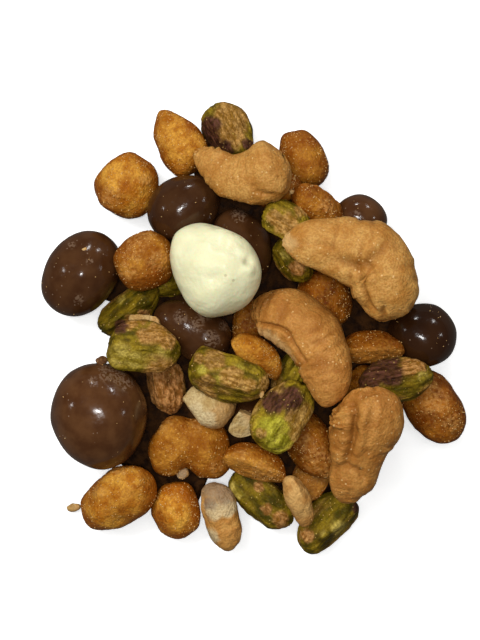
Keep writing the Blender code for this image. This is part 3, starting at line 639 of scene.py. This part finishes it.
def half_surface(surface):
    """As a whole peanut's, but ragged and bare on the flat side that it split along."""
    height, masks = peanut_surface(surface)
    bare = ramp(-surface.unit[:, 2] + 0.25 * rough_noise(surface.local, 1.6, surface.seed + 9), 0.0, 0.22)
    ragged = 0.35 * rough_noise(surface.local, 1.4, surface.seed + 8)
    height = height * (1 - bare) + ragged * bare
    return height, {**masks, "bright": bare}


def pistachio_surface(surface):
    skin = patched(SKIN_PATCHES, surface.laid, surface.upward, surface.seed, 0.26)
    film = patched(FILM_PATCHES, surface.laid, surface.upward, surface.seed + 1, 0.25)
    bright = patched(BRIGHT_PATCHES, surface.laid, surface.upward, surface.seed + 2, 0.5)
    under = ramp(-surface.upward, 0.0, 0.4)
    stray = ramp(rough_noise(surface.local, 4.0, surface.seed + 3), 0.10, 0.34) * under
    skin = np.maximum(skin, stray)
    level = np.arctan2(surface.unit[:, 2], np.abs(surface.unit[:, 1]))
    rim = np.exp(-(((level - 0.25) / 0.22) ** 2))
    rim *= ramp(noise(surface.local, 2.6, surface.seed + 8), -0.2, 0.5)
    ridges = noise(surface.drawn(2.4, 3.4), 1.0, surface.seed + 4)
    ridges += 0.6 * noise(surface.drawn(4.0, 9.0), 1.0, surface.seed + 5)
    height = 0.22 * ridges + 0.20 * noise(surface.local, 3.0, surface.seed + 6)
    height += 0.12 * rough_noise(surface.local, 0.9, surface.seed + 7)
    height += 0.12 * np.maximum(skin, film)
    film = np.maximum(film, 0.8 * rim)
    # Ridge height, from which the material paints shade into the grooves.
    return height, {"mark": skin, "film": film, "bright": bright, "painted_light_share": 0.5 + 0.4 * ridges}


def chip_surface(surface):
    height = 0.34 * rough_noise(surface.local, 2.4, surface.seed)
    height += 0.09 * rough_noise(surface.local, 0.7, surface.seed + 1)
    rind = ramp(surface.unit[:, 0] + 0.5 * noise(surface.local, 3.0, surface.seed + 2), 0.1, 0.5)
    grey = patched(GREY_ENDS, surface.laid, surface.upward, surface.seed, 0.3)
    bare = patched(BARE_BELTS, surface.laid, surface.upward, surface.seed + 3, 0.3)
    return height, {"mark": rind, "film": grey, "bright": bare}


SURFACES = {
    "chocolate": chocolate_surface,
    "almond": almond_surface,
    "peanut": peanut_surface,
    "half": half_surface,
    "pistachio": pistachio_surface,
    "cashew": cashew_surface,
    "chip": chip_surface,
}

# Name of the joined piece, and material slot, of each kind
KINDS = {
    "chocolate": ("chocolate_balls", "chocolate"),
    "almond": ("yogurt_coated_nut", "yogurt_coating"),
    "cashew": ("cashews", "cashew"),
    "peanut": ("honey_peanuts", "honey_peanut"),
    "half": ("honey_peanut_halves", "honey_peanut"),
    "pistachio": ("pistachio_kernels", "pistachio"),
    "chip": ("pale_nut_bits", "pale_nut"),
}
MASKS = ("mark", "film", "bright", "painted_light_share")
OWN_SPREAD = 41.0


def join(parts):
    """Several meshes as one: each part is its points, its faces and its values by attribute."""
    points, faces, values, first = [], [], {}, 0
    for part_points, part_faces, part_values in parts:
        points.append(part_points)
        faces.append(part_faces + first)
        first += len(part_points)
        for name, value in part_values.items():
            values.setdefault(name, []).append(value)
    return np.vstack(points), np.vstack(faces), {name: np.concatenate(v) for name, v in values.items()}


def make_object(name, parts, material):
    """One smooth mesh piece from parts in millimetres, riding on the heap's body."""
    points, faces, values = join(parts)
    mesh = bpy.data.meshes.new(name)
    mesh.from_pydata((points * MM).tolist(), [], faces.tolist())
    mesh.shade_smooth()
    for attribute, value in values.items():
        kind = "FLOAT_VECTOR" if value.ndim == 2 else "FLOAT"
        layer = mesh.attributes.new(attribute, kind, "POINT")
        layer.data.foreach_set("vector" if value.ndim == 2 else "value", value.ravel())
    mesh.materials.append(material)
    piece = bpy.data.objects.new(name, mesh)
    bpy.context.scene.collection.objects.link(piece)
    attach(piece, "root")
    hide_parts(HEAP_NODE)
    return piece


def kind_parts(kind, pieces, relief):
    """The fine surfaces of all pieces of a kind, with what its material reads from them."""
    parts, hosts = [], []
    for piece in pieces:
        if piece.kind != kind:
            continue
        shows = piece.shows(relief)
        fine = shows and piece.size[0] > CRUMB_LENGTH
        surface = Surface(piece, SURFACE_CUTS[kind] if fine else HIDDEN_CUTS)
        height, masks = SURFACES[kind](surface)
        laid = surface.raised(height)
        values = {name: masks[name] for name in MASKS if name in masks}
        values["own"] = surface.local + piece.seed * OWN_SPREAD
        values["tint"] = np.full(len(laid), ROASTS_AND_SHADE.get(piece.seed, USUAL_ROAST))
        parts.append((laid, surface.faces, values))
        hosts.append((laid, normals_of(laid, surface.faces), shows))
    return parts, hosts


# Node trees


def add(tree, kind, sockets=None, **settings):
    """A node with these settings; each socket takes a value or a link from another socket."""
    node = tree.nodes.new(kind)
    for name, value in settings.items():
        setattr(node, name, value)
    for name, value in (sockets or {}).items():
        if isinstance(value, bpy.types.NodeSocket):
            tree.links.new(value, node.inputs[name])
        else:
            node.inputs[name].default_value = value
    return node


def blend_colours(tree, share, low, high):
    """Low where share is 0 and high where it is 1."""
    node = add(tree, "ShaderNodeMix", data_type="RGBA")
    for socket, value in ((node.inputs["Factor"], share), (node.inputs[6], low), (node.inputs[7], high)):
        if isinstance(value, bpy.types.NodeSocket):
            tree.links.new(value, socket)
        else:
            socket.default_value = value if isinstance(value, float) else (*value[:3], 1.0)
    return node.outputs[2]


def sums(tree, operation, first, second):
    return add(tree, "ShaderNodeMath", {0: first, 1: second}, operation=operation).outputs[0]


def mapped(tree, value, low, high, to_low=0.0, to_high=1.0):
    sockets = {"Value": value, "From Min": low, "From Max": high, "To Min": to_low, "To Max": to_high}
    return add(tree, "ShaderNodeMapRange", sockets, interpolation_type="SMOOTHSTEP").outputs["Result"]


def attribute(tree, name, output="Fac"):
    return add(tree, "ShaderNodeAttribute", attribute_name=name, attribute_type="GEOMETRY").outputs[output]


def new_group(name, inputs, outputs):
    """An empty shader node group with these sockets, and its input and output nodes."""
    group = bpy.data.node_groups.new(name, "ShaderNodeTree")
    for title, kind in inputs:
        group.interface.new_socket(title, in_out="INPUT", socket_type=kind)
    for title, kind in outputs:
        group.interface.new_socket(title, in_out="OUTPUT", socket_type=kind)
    return group, group.nodes.new("NodeGroupInput").outputs, group.nodes.new("NodeGroupOutput").inputs


def mottling_group():
    """Unevenness from 0 to 1 over the surface, Size long: Contrast 0 is soft, 1 is hard-edged."""
    sockets = [("Place", "NodeSocketVector"), ("Size", "NodeSocketFloat"), ("Contrast", "NodeSocketFloat")]
    group, given, result = new_group("mottling", sockets, [("Mask", "NodeSocketFloat")])
    scale = sums(group, "DIVIDE", 1.0, given["Size"])
    texture = add(group, "ShaderNodeTexNoise", {"Vector": given["Place"], "Scale": scale, "Detail": 4.0})
    width = mapped(group, given["Contrast"], 0.0, 1.0, 0.24, 0.02)
    low, high = sums(group, "SUBTRACT", 0.5, width), sums(group, "ADD", 0.5, width)
    group.links.new(mapped(group, texture.outputs["Fac"], low, high), result["Mask"])
    return group


def specks_group():
    """Scattered specks, Size apart, of which Share are there."""
    sockets = [("Place", "NodeSocketVector"), ("Size", "NodeSocketFloat"), ("Share", "NodeSocketFloat")]
    group, given, result = new_group("specks", sockets, [("Mask", "NodeSocketFloat")])
    scale = sums(group, "DIVIDE", 1.0, given["Size"])
    cells = add(group, "ShaderNodeTexVoronoi", {"Vector": given["Place"], "Scale": scale})
    chance = add(group, "ShaderNodeSeparateColor", {"Color": cells.outputs["Color"]}).outputs["Red"]
    there = sums(group, "LESS_THAN", chance, given["Share"])
    near = mapped(group, cells.outputs["Distance"], 0.28, 0.18)
    group.links.new(sums(group, "MULTIPLY", there, near), result["Mask"])
    return group


def relief_group():
    """Fine relief: grains Size across on softer waves three times as long."""
    sockets = [("Place", "NodeSocketVector"), ("Size", "NodeSocketFloat")]
    group, given, result = new_group("fine_relief", sockets, [("Height", "NodeSocketFloat")])
    scale = sums(group, "DIVIDE", 1.0, given["Size"])
    slow = sums(group, "MULTIPLY", scale, 0.33)
    fine = add(group, "ShaderNodeTexNoise", {"Vector": given["Place"], "Scale": scale, "Detail": 3.0})
    soft = add(group, "ShaderNodeTexNoise", {"Vector": given["Place"], "Scale": slow, "Detail": 1.0})
    total = sums(group, "ADD", fine.outputs["Fac"], soft.outputs["Fac"])
    group.links.new(total, result["Height"])
    return group


def grooves_group():
    """How deep between the ridges each place is: 0 above Start, 1 below End."""
    sockets = [("Ridge", "NodeSocketFloat"), ("Start", "NodeSocketFloat"), ("End", "NodeSocketFloat")]
    group, given, result = new_group("grooves", sockets, [("Mask", "NodeSocketFloat")])
    group.links.new(mapped(group, given["Ridge"], given["Start"], given["End"]), result["Mask"])
    return group


GROUPS = {
    "mottling": mottling_group(),
    "specks": specks_group(),
    "relief": relief_group(),
    "grooves": grooves_group(),
}


def streaked(tree, place):
    """Coordinates in which whatever is scattered is drawn out along the piece."""
    return add(tree, "ShaderNodeMapping", {"Vector": place, "Scale": (0.45, 1.0, 1.0)}).outputs["Vector"]


def place_group(tree, name, output, **sockets):
    """One of the shared groups in a material, with its own values."""
    node = tree.nodes.new("ShaderNodeGroup")
    node.node_tree = GROUPS[name]
    for title, value in sockets.items():
        if isinstance(value, bpy.types.NodeSocket):
            tree.links.new(value, node.inputs[title])
        else:
            node.inputs[title].default_value = value
    return node.outputs[output]


def mottled(tree, place, size, contrast):
    return place_group(tree, "mottling", "Mask", Place=place, Size=size, Contrast=contrast)


def speckled(tree, place, size, share):
    return place_group(tree, "specks", "Mask", Place=place, Size=size, Share=share)


def groove_shade(tree, start, end):
    painted_light_share = attribute(tree, "painted_light_share")
    return place_group(tree, "grooves", "Mask", Ridge=painted_light_share, Start=start, End=end)


def new_material(name, **fixed):
    """A material with a Principled shader; fixed gives its constant sockets."""
    material = bpy.data.materials.new(name)
    material.use_nodes = True
    shader = material.node_tree.nodes["Principled BSDF"]
    for title, value in fixed.items():
        shader.inputs[title.replace("_", " ")].default_value = value
    return material, material.node_tree, shader


def dress(tree, shader, place, colour, roughness, grain, depth):
    """Links colour, roughness and fine relief: grain is its size and depth its height, in millimetres."""
    tree.links.new(colour, shader.inputs["Base Color"])
    tree.links.new(roughness, shader.inputs["Roughness"])
    height = place_group(tree, "relief", "Height", Place=place, Size=grain)
    bump = add(tree, "ShaderNodeBump", {"Height": height, "Distance": depth * MM})
    tree.links.new(bump.outputs["Normal"], shader.inputs["Normal"])


def part_of(tree, mask, share):
    return sums(tree, "MULTIPLY", mask, share)


def over(tree, colour, mask, share, tone):
    """The colour with this much of a tone over it wherever the mask is."""
    return blend_colours(tree, part_of(tree, mask, share), colour, tone)


def chocolate_material():
    material, tree, shader = new_material(
        "chocolate_glaze", Specular_IOR_Level=0.30, Coat_Weight=0.16, Coat_Roughness=0.05
    )
    own = attribute(tree, "own", "Vector")
    blotches = mottled(tree, own, 3.0, 0.1)
    colour = blend_colours(tree, blotches, (0.062, 0.0210, 0.0060), (0.106, 0.043, 0.0145))
    # Darker on the more roasted pieces; on the piece at row 3, which lies in the large cashew's shadow,
    # this is painted shade.
    roast_and_shade = part_of(tree, attribute(tree, "tint"), 0.85)
    colour = blend_colours(tree, roast_and_shade, colour, (0.020, 0.0065, 0.0020))
    broken = mottled(tree, own, 0.5, 0.7)
    scuff = sums(tree, "MULTIPLY", attribute(tree, "mark"), broken)
    colour = over(tree, colour, scuff, 0.50, (0.24, 0.15, 0.09))
    dust = speckled(tree, own, 0.6, 0.05)
    colour = over(tree, colour, dust, 0.5, (0.32, 0.22, 0.15))
    fine = mottled(tree, own, 0.5, 0.3)
    roughness = sums(tree, "ADD", mapped(tree, fine, 0.0, 1.0, 0.13, 0.20), part_of(tree, scuff, 0.3))
    dress(tree, shader, own, colour, roughness, 0.6, 0.03)
    return material


def yogurt_material():
    material, tree, shader = new_material(
        "yogurt_coating",
        Specular_IOR_Level=0.4,
        Coat_Weight=0.15,
        Coat_Roughness=0.18,
        Subsurface_Weight=0.15,
        Subsurface_Scale=1.5 * MM,
    )
    own = attribute(tree, "own", "Vector")
    blotches = mottled(tree, own, 4.0, 0.1)
    colour = blend_colours(tree, blotches, (0.79, 0.76, 0.46), (0.86, 0.84, 0.54))
    pits = speckled(tree, own, 1.4, 0.05)
    colour = over(tree, colour, pits, 0.6, (0.50, 0.42, 0.22))
    # Painted shade inside the deepest dent.
    colour = over(tree, colour, attribute(tree, "mark"), 0.45, (0.40, 0.37, 0.24))
    roughness = mapped(tree, blotches, 0.0, 1.0, 0.34, 0.46)
    dress(tree, shader, own, colour, roughness, 0.8, 0.12)
    return material


def cashew_material():
    material, tree, shader = new_material(
        "roasted_cashew", Specular_IOR_Level=0.24, Subsurface_Weight=0.06, Subsurface_Scale=0.6 * MM
    )
    own = attribute(tree, "own", "Vector")
    blotches = mottled(tree, own, 3.5, 0.3)
    light = blend_colours(tree, blotches, (0.50, 0.225, 0.042), (0.66, 0.370, 0.100))
    deep = blend_colours(tree, blotches, (0.34, 0.120, 0.020), (0.54, 0.230, 0.048))
    colour = blend_colours(tree, attribute(tree, "tint"), light, deep)
    fine = mottled(tree, own, 0.40, 0.6)
    colour = over(tree, colour, fine, 0.40, (0.31, 0.108, 0.013))
    # Painted shade in the grooves between the wrinkles and ribs.
    colour = over(tree, colour, groove_shade(tree, 0.48, 0.15), 0.55, (0.26, 0.085, 0.009))
    colour = over(tree, colour, attribute(tree, "bright"), 0.5, (0.74, 0.50, 0.22))
    # Painted shade in the deepest part of the folds.
    colour = over(tree, colour, attribute(tree, "mark"), 0.6, (0.22, 0.075, 0.010))
    pale = speckled(tree, own, 0.7, 0.16)
    colour = over(tree, colour, pale, 0.6, (0.84, 0.58, 0.26))
    roughness = mapped(tree, fine, 0.0, 1.0, 0.28, 0.46)
    dress(tree, shader, own, colour, roughness, 0.4, 0.24)
    return material


def honey_material():
    material, tree, shader = new_material("honey_roasted_coat", Specular_IOR_Level=0.13)
    own = attribute(tree, "own", "Vector")
    blotches = mottled(tree, own, 2.2, 0.45)
    light = blend_colours(tree, blotches, (0.54, 0.180, 0.009), (0.84, 0.430, 0.060))
    deep = blend_colours(tree, blotches, (0.12, 0.026, 0.001), (0.34, 0.100, 0.004))
    # Deeper on the darker-roasted pieces; on the pieces at rows 21 and 26, which lie in shade, this is
    # painted shade.
    lit_golden = blend_colours(tree, attribute(tree, "tint"), light, deep)
    caramel_side_shade = blend_colours(tree, attribute(tree, "tint"), (0.34, 0.090, 0.004), (0.13, 0.026, 0.001))
    # Golden on the upward-facing tops and caramel on the sides: painted light and shade, partly the coat's
    # own colour.
    colour = blend_colours(tree, attribute(tree, "painted_light_share"), caramel_side_shade, lit_golden)
    colour = over(tree, colour, attribute(tree, "film"), 0.32, (0.78, 0.38, 0.060))
    clumps = mottled(tree, own, 0.8, 0.5)
    crust = sums(tree, "MULTIPLY", attribute(tree, "mark"), mapped(tree, clumps, 0.0, 1.0, 0.05, 0.60))
    colour = blend_colours(tree, crust, colour, (0.58, 0.28, 0.070))
    colour = over(tree, colour, attribute(tree, "bright"), 0.30, (0.66, 0.32, 0.060))
    fine = mottled(tree, own, 0.45, 0.6)
    colour = over(tree, colour, fine, 0.36, (0.22, 0.052, 0.003))
    crystals = speckled(tree, own, 0.5, 0.12)
    colour = over(tree, colour, crystals, 0.6, (0.88, 0.54, 0.17))
    roughness = mapped(tree, fine, 0.0, 1.0, 0.20, 0.40)
    dress(tree, shader, own, colour, roughness, 0.34, 0.26)
    return material


def pistachio_material():
    material, tree, shader = new_material("pistachio_kernel", Specular_IOR_Level=0.14)
    own = attribute(tree, "own", "Vector")
    along_piece = streaked(tree, own)
    streaks = mottled(tree, along_piece, 1.6, 0.5)
    light = blend_colours(tree, streaks, (0.110, 0.078, 0.003), (0.42, 0.290, 0.018))
    deep = blend_colours(tree, streaks, (0.036, 0.034, 0.0015), (0.190, 0.120, 0.006))
    colour = blend_colours(tree, attribute(tree, "tint"), light, deep)
    green = blend_colours(tree, streaks, (0.28, 0.25, 0.010), (0.54, 0.50, 0.048))
    yellow = blend_colours(tree, streaks, (0.32, 0.225, 0.018), (0.66, 0.50, 0.110))
    ripe = blend_colours(tree, mapped(tree, attribute(tree, "tint"), 0.0, 0.5), green, yellow)
    colour = over(tree, colour, attribute(tree, "bright"), 0.8, ripe)
    tatters = mottled(tree, along_piece, 0.6, 0.4)
    film = sums(tree, "MULTIPLY", attribute(tree, "film"), mapped(tree, tatters, 0.0, 0.7, 0.75, 1.0))
    sandy = blend_colours(tree, tatters, (0.26, 0.115, 0.014), (0.57, 0.340, 0.090))
    russet = blend_colours(tree, tatters, (0.30, 0.092, 0.016), (0.62, 0.290, 0.096))
    tan = blend_colours(tree, attribute(tree, "tint"), sandy, russet)
    colour = blend_colours(tree, film, colour, tan)
    skin_tone = blend_colours(tree, tatters, (0.028, 0.009, 0.006), (0.130, 0.048, 0.030))
    colour = blend_colours(tree, attribute(tree, "mark"), colour, skin_tone)
    fine = mottled(tree, own, 0.4, 0.6)
    # Painted shade in the grooves between the ridges.
    colour = over(tree, colour, groove_shade(tree, 0.50, 0.10), 0.35, (0.060, 0.028, 0.003))
    colour = over(tree, colour, fine, 0.38, (0.085, 0.040, 0.003))
    specks = speckled(tree, own, 0.6, 0.14)
    colour = over(tree, colour, specks, 0.6, (0.60, 0.42, 0.10))
    roughness = mapped(tree, fine, 0.0, 1.0, 0.30, 0.52)
    dress(tree, shader, own, colour, roughness, 0.40, 0.28)
    return material


def pale_material():
    material, tree, shader = new_material("pale_broken_nut", Specular_IOR_Level=0.22)
    own = attribute(tree, "own", "Vector")
    blotches = mottled(tree, own, 2.0, 0.4)
    light = blend_colours(tree, blotches, (0.50, 0.34, 0.125), (0.68, 0.52, 0.25))
    deep = blend_colours(tree, blotches, (0.50, 0.185, 0.024), (0.66, 0.32, 0.060))
    colour = blend_colours(tree, attribute(tree, "tint"), light, deep)
    colour = over(tree, colour, attribute(tree, "mark"), 0.5, (0.52, 0.23, 0.050))
    colour = over(tree, colour, attribute(tree, "bright"), 0.8, (0.72, 0.58, 0.32))
    colour = over(tree, colour, attribute(tree, "film"), 0.8, (0.27, 0.20, 0.13))
    # Near-black on the darkest piece, the crumb at row 23 in shade beside the large chocolate: painted
    # shade.
    crumb_shade = mapped(tree, attribute(tree, "tint"), 0.92, 1.0)
    colour = blend_colours(tree, crumb_shade, colour, (0.115, 0.048, 0.020))
    fine = mottled(tree, own, 0.4, 0.6)
    colour = over(tree, colour, fine, 0.32, (0.30, 0.14, 0.04))
    roughness = mapped(tree, fine, 0.0, 1.0, 0.34, 0.52)
    dress(tree, shader, own, colour, roughness, 0.4, 0.26)
    return material


def sugar_material():
    material, tree, shader = new_material("sugar_and_crumbs", Coat_Weight=0.5, Coat_Roughness=0.12)
    own = attribute(tree, "own", "Vector")
    tint = attribute(tree, "tint")
    colour = blend_colours(tree, tint, (0.50, 0.20, 0.030), (0.92, 0.62, 0.26))
    shading = mottled(tree, own, 0.2, 0.1)
    colour = over(tree, colour, shading, 0.3, (0.60, 0.34, 0.10))
    roughness = mapped(tree, tint, 0.0, 1.0, 0.4, 0.15)
    dress(tree, shader, own, colour, roughness, 0.1, 0.02)
    return material


# Near-black, so that the gaps between the pieces look deep: painted shade.
def core_material():
    material, tree, shader = new_material("dark_shade_bed", Specular_IOR_Level=0.10)
    own = attribute(tree, "own", "Vector")
    blotches = mottled(tree, own, 1.5, 0.4)
    colour = blend_colours(tree, blotches, (0.012, 0.004, 0.0012), (0.045, 0.017, 0.0045))
    roughness = mapped(tree, blotches, 0.0, 1.0, 0.6, 0.8)
    dress(tree, shader, own, colour, roughness, 0.5, 0.3)
    return material


MATERIALS = {
    "chocolate": chocolate_material,
    "almond": yogurt_material,
    "cashew": cashew_material,
    "peanut": honey_material,
    "half": honey_material,
    "pistachio": pistachio_material,
    "chip": pale_material,
}

# Sugar, salt and crumbs: how many lie on each piece of a kind, and how light they are. Then how large
# they and their clusters are, and how far upward the surface faces under them.
GRAINS_ON = {
    "peanut": (130, 0.65),
    "half": (90, 0.65),
    "chocolate": (12, 0.75),
    "pistachio": (18, 0.60),
    "cashew": (22, 0.75),
    "chip": (8, 0.6),
}
GRAIN_SIZE = (0.09, 0.24)
GRAIN_SEED = 2026
CLUSTER_SIZE = 2.4
CLUSTER_SEED = 5
GRAINS_ABOVE = 0.3
CUBE_CORNERS = np.array(list(product((-1, 1), repeat=3)), float)
CUBE_FACES = np.array([(0, 1, 3, 2), (4, 6, 7, 5), (0, 4, 5, 1), (2, 3, 7, 6), (0, 2, 6, 4), (1, 5, 7, 3)])


def grain_part(at, size, tint, draw):
    """One uneven crystal."""
    corners = CUBE_CORNERS * size * draw.uniform(0.55, 1.0, 3) * draw.uniform(0.7, 1.0, (8, 1))
    turn = np.array(Euler(draw.uniform(0, 2 * math.pi, 3)).to_matrix())
    points = corners @ turn.T + at
    return points, CUBE_FACES, {"own": points, "tint": np.full(8, tint)}


def grain_parts(hosts_by_kind):
    """Crystals and crumbs on the upper sides of the pieces that show."""
    draw = np.random.default_rng(GRAIN_SEED)
    parts = []
    for kind, (count, light) in GRAINS_ON.items():
        for laid, normals, shows in hosts_by_kind[kind]:
            if not shows:
                continue
            upper = np.nonzero(normals[:, 2] > GRAINS_ABOVE)[0]
            crowding = 0.12 + ramp(noise(laid[upper], CLUSTER_SIZE, CLUSTER_SEED), -0.2, 0.7)
            for index in draw.choice(upper, count, p=crowding / crowding.sum()):
                size = draw.uniform(*GRAIN_SIZE) / 2
                at = laid[index] + normals[index] * size * 0.4
                parts.append(grain_part(at, size, light * draw.uniform(0.6, 1.3), draw))
    return parts


# The scene's own core: a low near-black bed inside the heap's outline, painted shade that darkens the
# gaps between the pieces. It ends before the one gap through which the table shows, given as x, y and
# reach.
BED_SPOKES = 180
BED_RINGS = 40
BED_EASE = 4
BED_INSET = 2.6
BED_HEIGHT = 2.6
BED_FOOT = 0.02
BED_LUMPS = 0.7
LUMP_SIZE = 1.6
LUMP_SEED = 77
SEEN_THROUGH = (-5.6, -26.4, 2.0)


def outline_reach(relief, angle):
    """How far the heap reaches from its middle in this direction."""
    steps = np.arange(0, MAP_HALF_SIDE - 1, MAP_CELL)
    return steps[relief[cells_of(steps * math.cos(angle), steps * math.sin(angle))] > 0].max()


def gap_reach(angle):
    """How far the bed may reach in this direction before the gap that the table shows through."""
    gap_angle, gap_far = math.atan2(SEEN_THROUGH[1], SEEN_THROUGH[0]), math.hypot(*SEEN_THROUGH[:2])
    aside = abs(math.remainder(angle - gap_angle, 2 * math.pi)) * gap_far
    return gap_far - SEEN_THROUGH[2] if aside < SEEN_THROUGH[2] else MAP_HALF_SIDE


def bed_part(relief):
    """The bed as a closed low mesh: rings of points over its foot, and the same under it."""
    angles = np.arange(BED_SPOKES) * 2 * math.pi / BED_SPOKES
    outline = np.array([outline_reach(relief, angle) for angle in angles])
    eased = np.min([np.roll(outline, shift) for shift in range(-BED_EASE, BED_EASE + 1)], axis=0)
    reach = np.minimum(eased - BED_INSET, [gap_reach(angle) for angle in angles])
    shares = np.linspace(1, 0.01, BED_RINGS)[:, None]
    top = np.stack([shares * reach * np.cos(angles), shares * reach * np.sin(angles)], axis=2)
    top = top.reshape(-1, 2)
    height = BED_HEIGHT * np.repeat(np.sqrt(1 - (2 * shares.ravel() - 1).clip(0) ** 4), BED_SPOKES)
    lumps = BED_LUMPS * rough_noise(np.column_stack([top, height]), LUMP_SIZE, LUMP_SEED)
    upper = np.column_stack([top, np.maximum(height + lumps * ramp(height, 0.2, 1.5), 0.1)])
    lower = np.column_stack([top, np.full(len(top), BED_FOOT)])
    ring, spoke = np.divmod(np.arange((BED_RINGS - 1) * BED_SPOKES), BED_SPOKES)
    following = (spoke + 1) % BED_SPOKES
    near, far = ring * BED_SPOKES, (ring + 1) * BED_SPOKES
    faces = np.column_stack([near + spoke, near + following, far + following, far + spoke])
    under = len(top)
    rim = np.column_stack([np.arange(BED_SPOKES), under + np.arange(BED_SPOKES)])
    rim_faces = np.column_stack([rim, np.roll(rim, -1, axis=0)[:, ::-1]])
    inner = (BED_RINGS - 1) * BED_SPOKES + np.arange(BED_SPOKES)
    hole = np.column_stack([inner, np.roll(inner, -1), np.roll(inner, -1) + under, inner + under])
    points = np.vstack([upper, lower])
    return points, np.vstack([faces, faces[:, ::-1] + under, rim_faces, hole]), {"own": points.copy()}


# Floor, light and camera
CAMERA_HEIGHT = 400.0
CAMERA_AT = (-2.77, 1.56)
PIXELS_HIGH = 640
PIXEL_SIZE = 0.19
SHARP_HEIGHT = 8.0
SENSOR_HEIGHT = 24.0


def make_floor():
    bpy.ops.mesh.primitive_plane_add(size=3.0)
    floor = bpy.context.object
    floor.name = "table_top"
    material, tree, shader = new_material("pale_table", Emission_Strength=0.45, Roughness=0.8)
    seen = add(tree, "ShaderNodeLightPath").outputs["Is Camera Ray"]
    colour = blend_colours(tree, seen, (0.12, 0.11, 0.10), (0.97, 0.97, 0.96))
    tree.links.new(colour, shader.inputs["Base Color"])
    glow = blend_colours(tree, seen, (0.0, 0.0, 0.0), (1.0, 1.0, 1.0))
    tree.links.new(glow, shader.inputs["Emission Color"])
    floor.data.materials.append(material)


def area_light(name, at, size, watts, mirrored=True):
    """A soft square light, in metres, that faces the heap; mirrored, it shows in glossy coats."""
    light = bpy.data.lights.new(name, "AREA")
    light.size = size
    light.energy = watts
    lamp = bpy.data.objects.new(name, light)
    lamp.location = at
    lamp.rotation_euler = (-Vector(at)).to_track_quat("-Z", "Y").to_euler()
    lamp.visible_glossy = mirrored
    bpy.context.scene.collection.objects.link(lamp)


def light_the_table():
    area_light("ceiling", (-0.14, 0.14, 1.0), 0.9, 4.6, mirrored=False)
    area_light("key", (-0.42, 0.38, 0.86), 0.30, 4.4, mirrored=False)
    area_light("lamp", (-0.01, 0.0, 0.9), 0.07, 1.7)
    area_light("window", (-0.05, 0.92, 0.42), 0.12, 1.3)
    area_light("second_window", (0.50, 0.76, 0.42), 0.10, 0.9)
    area_light("left_lamp", (-0.75, 0.15, 0.55), 0.07, 0.4)
    area_light("right_lamp", (0.75, 0.10, 0.55), 0.07, 0.3)
    world = bpy.context.scene.world or bpy.data.worlds.new("room")
    bpy.context.scene.world = world
    world.use_nodes = True
    background = world.node_tree.nodes["Background"]
    background.inputs["Color"].default_value = (1.0, 1.0, 1.0, 1.0)
    background.inputs["Strength"].default_value = 0.08
    bpy.context.scene.view_settings.view_transform = "Standard"


def add_camera():
    camera = bpy.data.cameras.new("from_above")
    camera.sensor_fit = "VERTICAL"
    camera.sensor_height = SENSOR_HEIGHT
    reach = (CAMERA_HEIGHT - SHARP_HEIGHT) / (PIXELS_HIGH * PIXEL_SIZE)
    camera.lens = SENSOR_HEIGHT * reach
    holder = bpy.data.objects.new("from_above", camera)
    holder.location = (CAMERA_AT[0] * MM, CAMERA_AT[1] * MM, CAMERA_HEIGHT * MM)
    bpy.context.scene.collection.objects.link(holder)
    bpy.context.scene.camera = holder


def main():
    cloud_ball = ball(CLOUD_CUTS)[0]
    pieces = [Piece(row, seed, cloud_ball) for seed, row in enumerate(PIECES)]
    relief = lay_down(pieces)
    made = {}
    hosts_by_kind = {}
    for kind, (name, slot) in KINDS.items():
        parts, hosts_by_kind[kind] = kind_parts(kind, pieces, relief)
        maker = MATERIALS[kind]
        if maker not in made:
            made[maker] = maker()
        make_object(name, parts, made[maker])
    make_object("sugar_grains", grain_parts(hosts_by_kind), sugar_material())
    make_object("dark_shade_bed", [bed_part(relief)], core_material())
    make_floor()
    light_the_table()
    add_camera()


main()
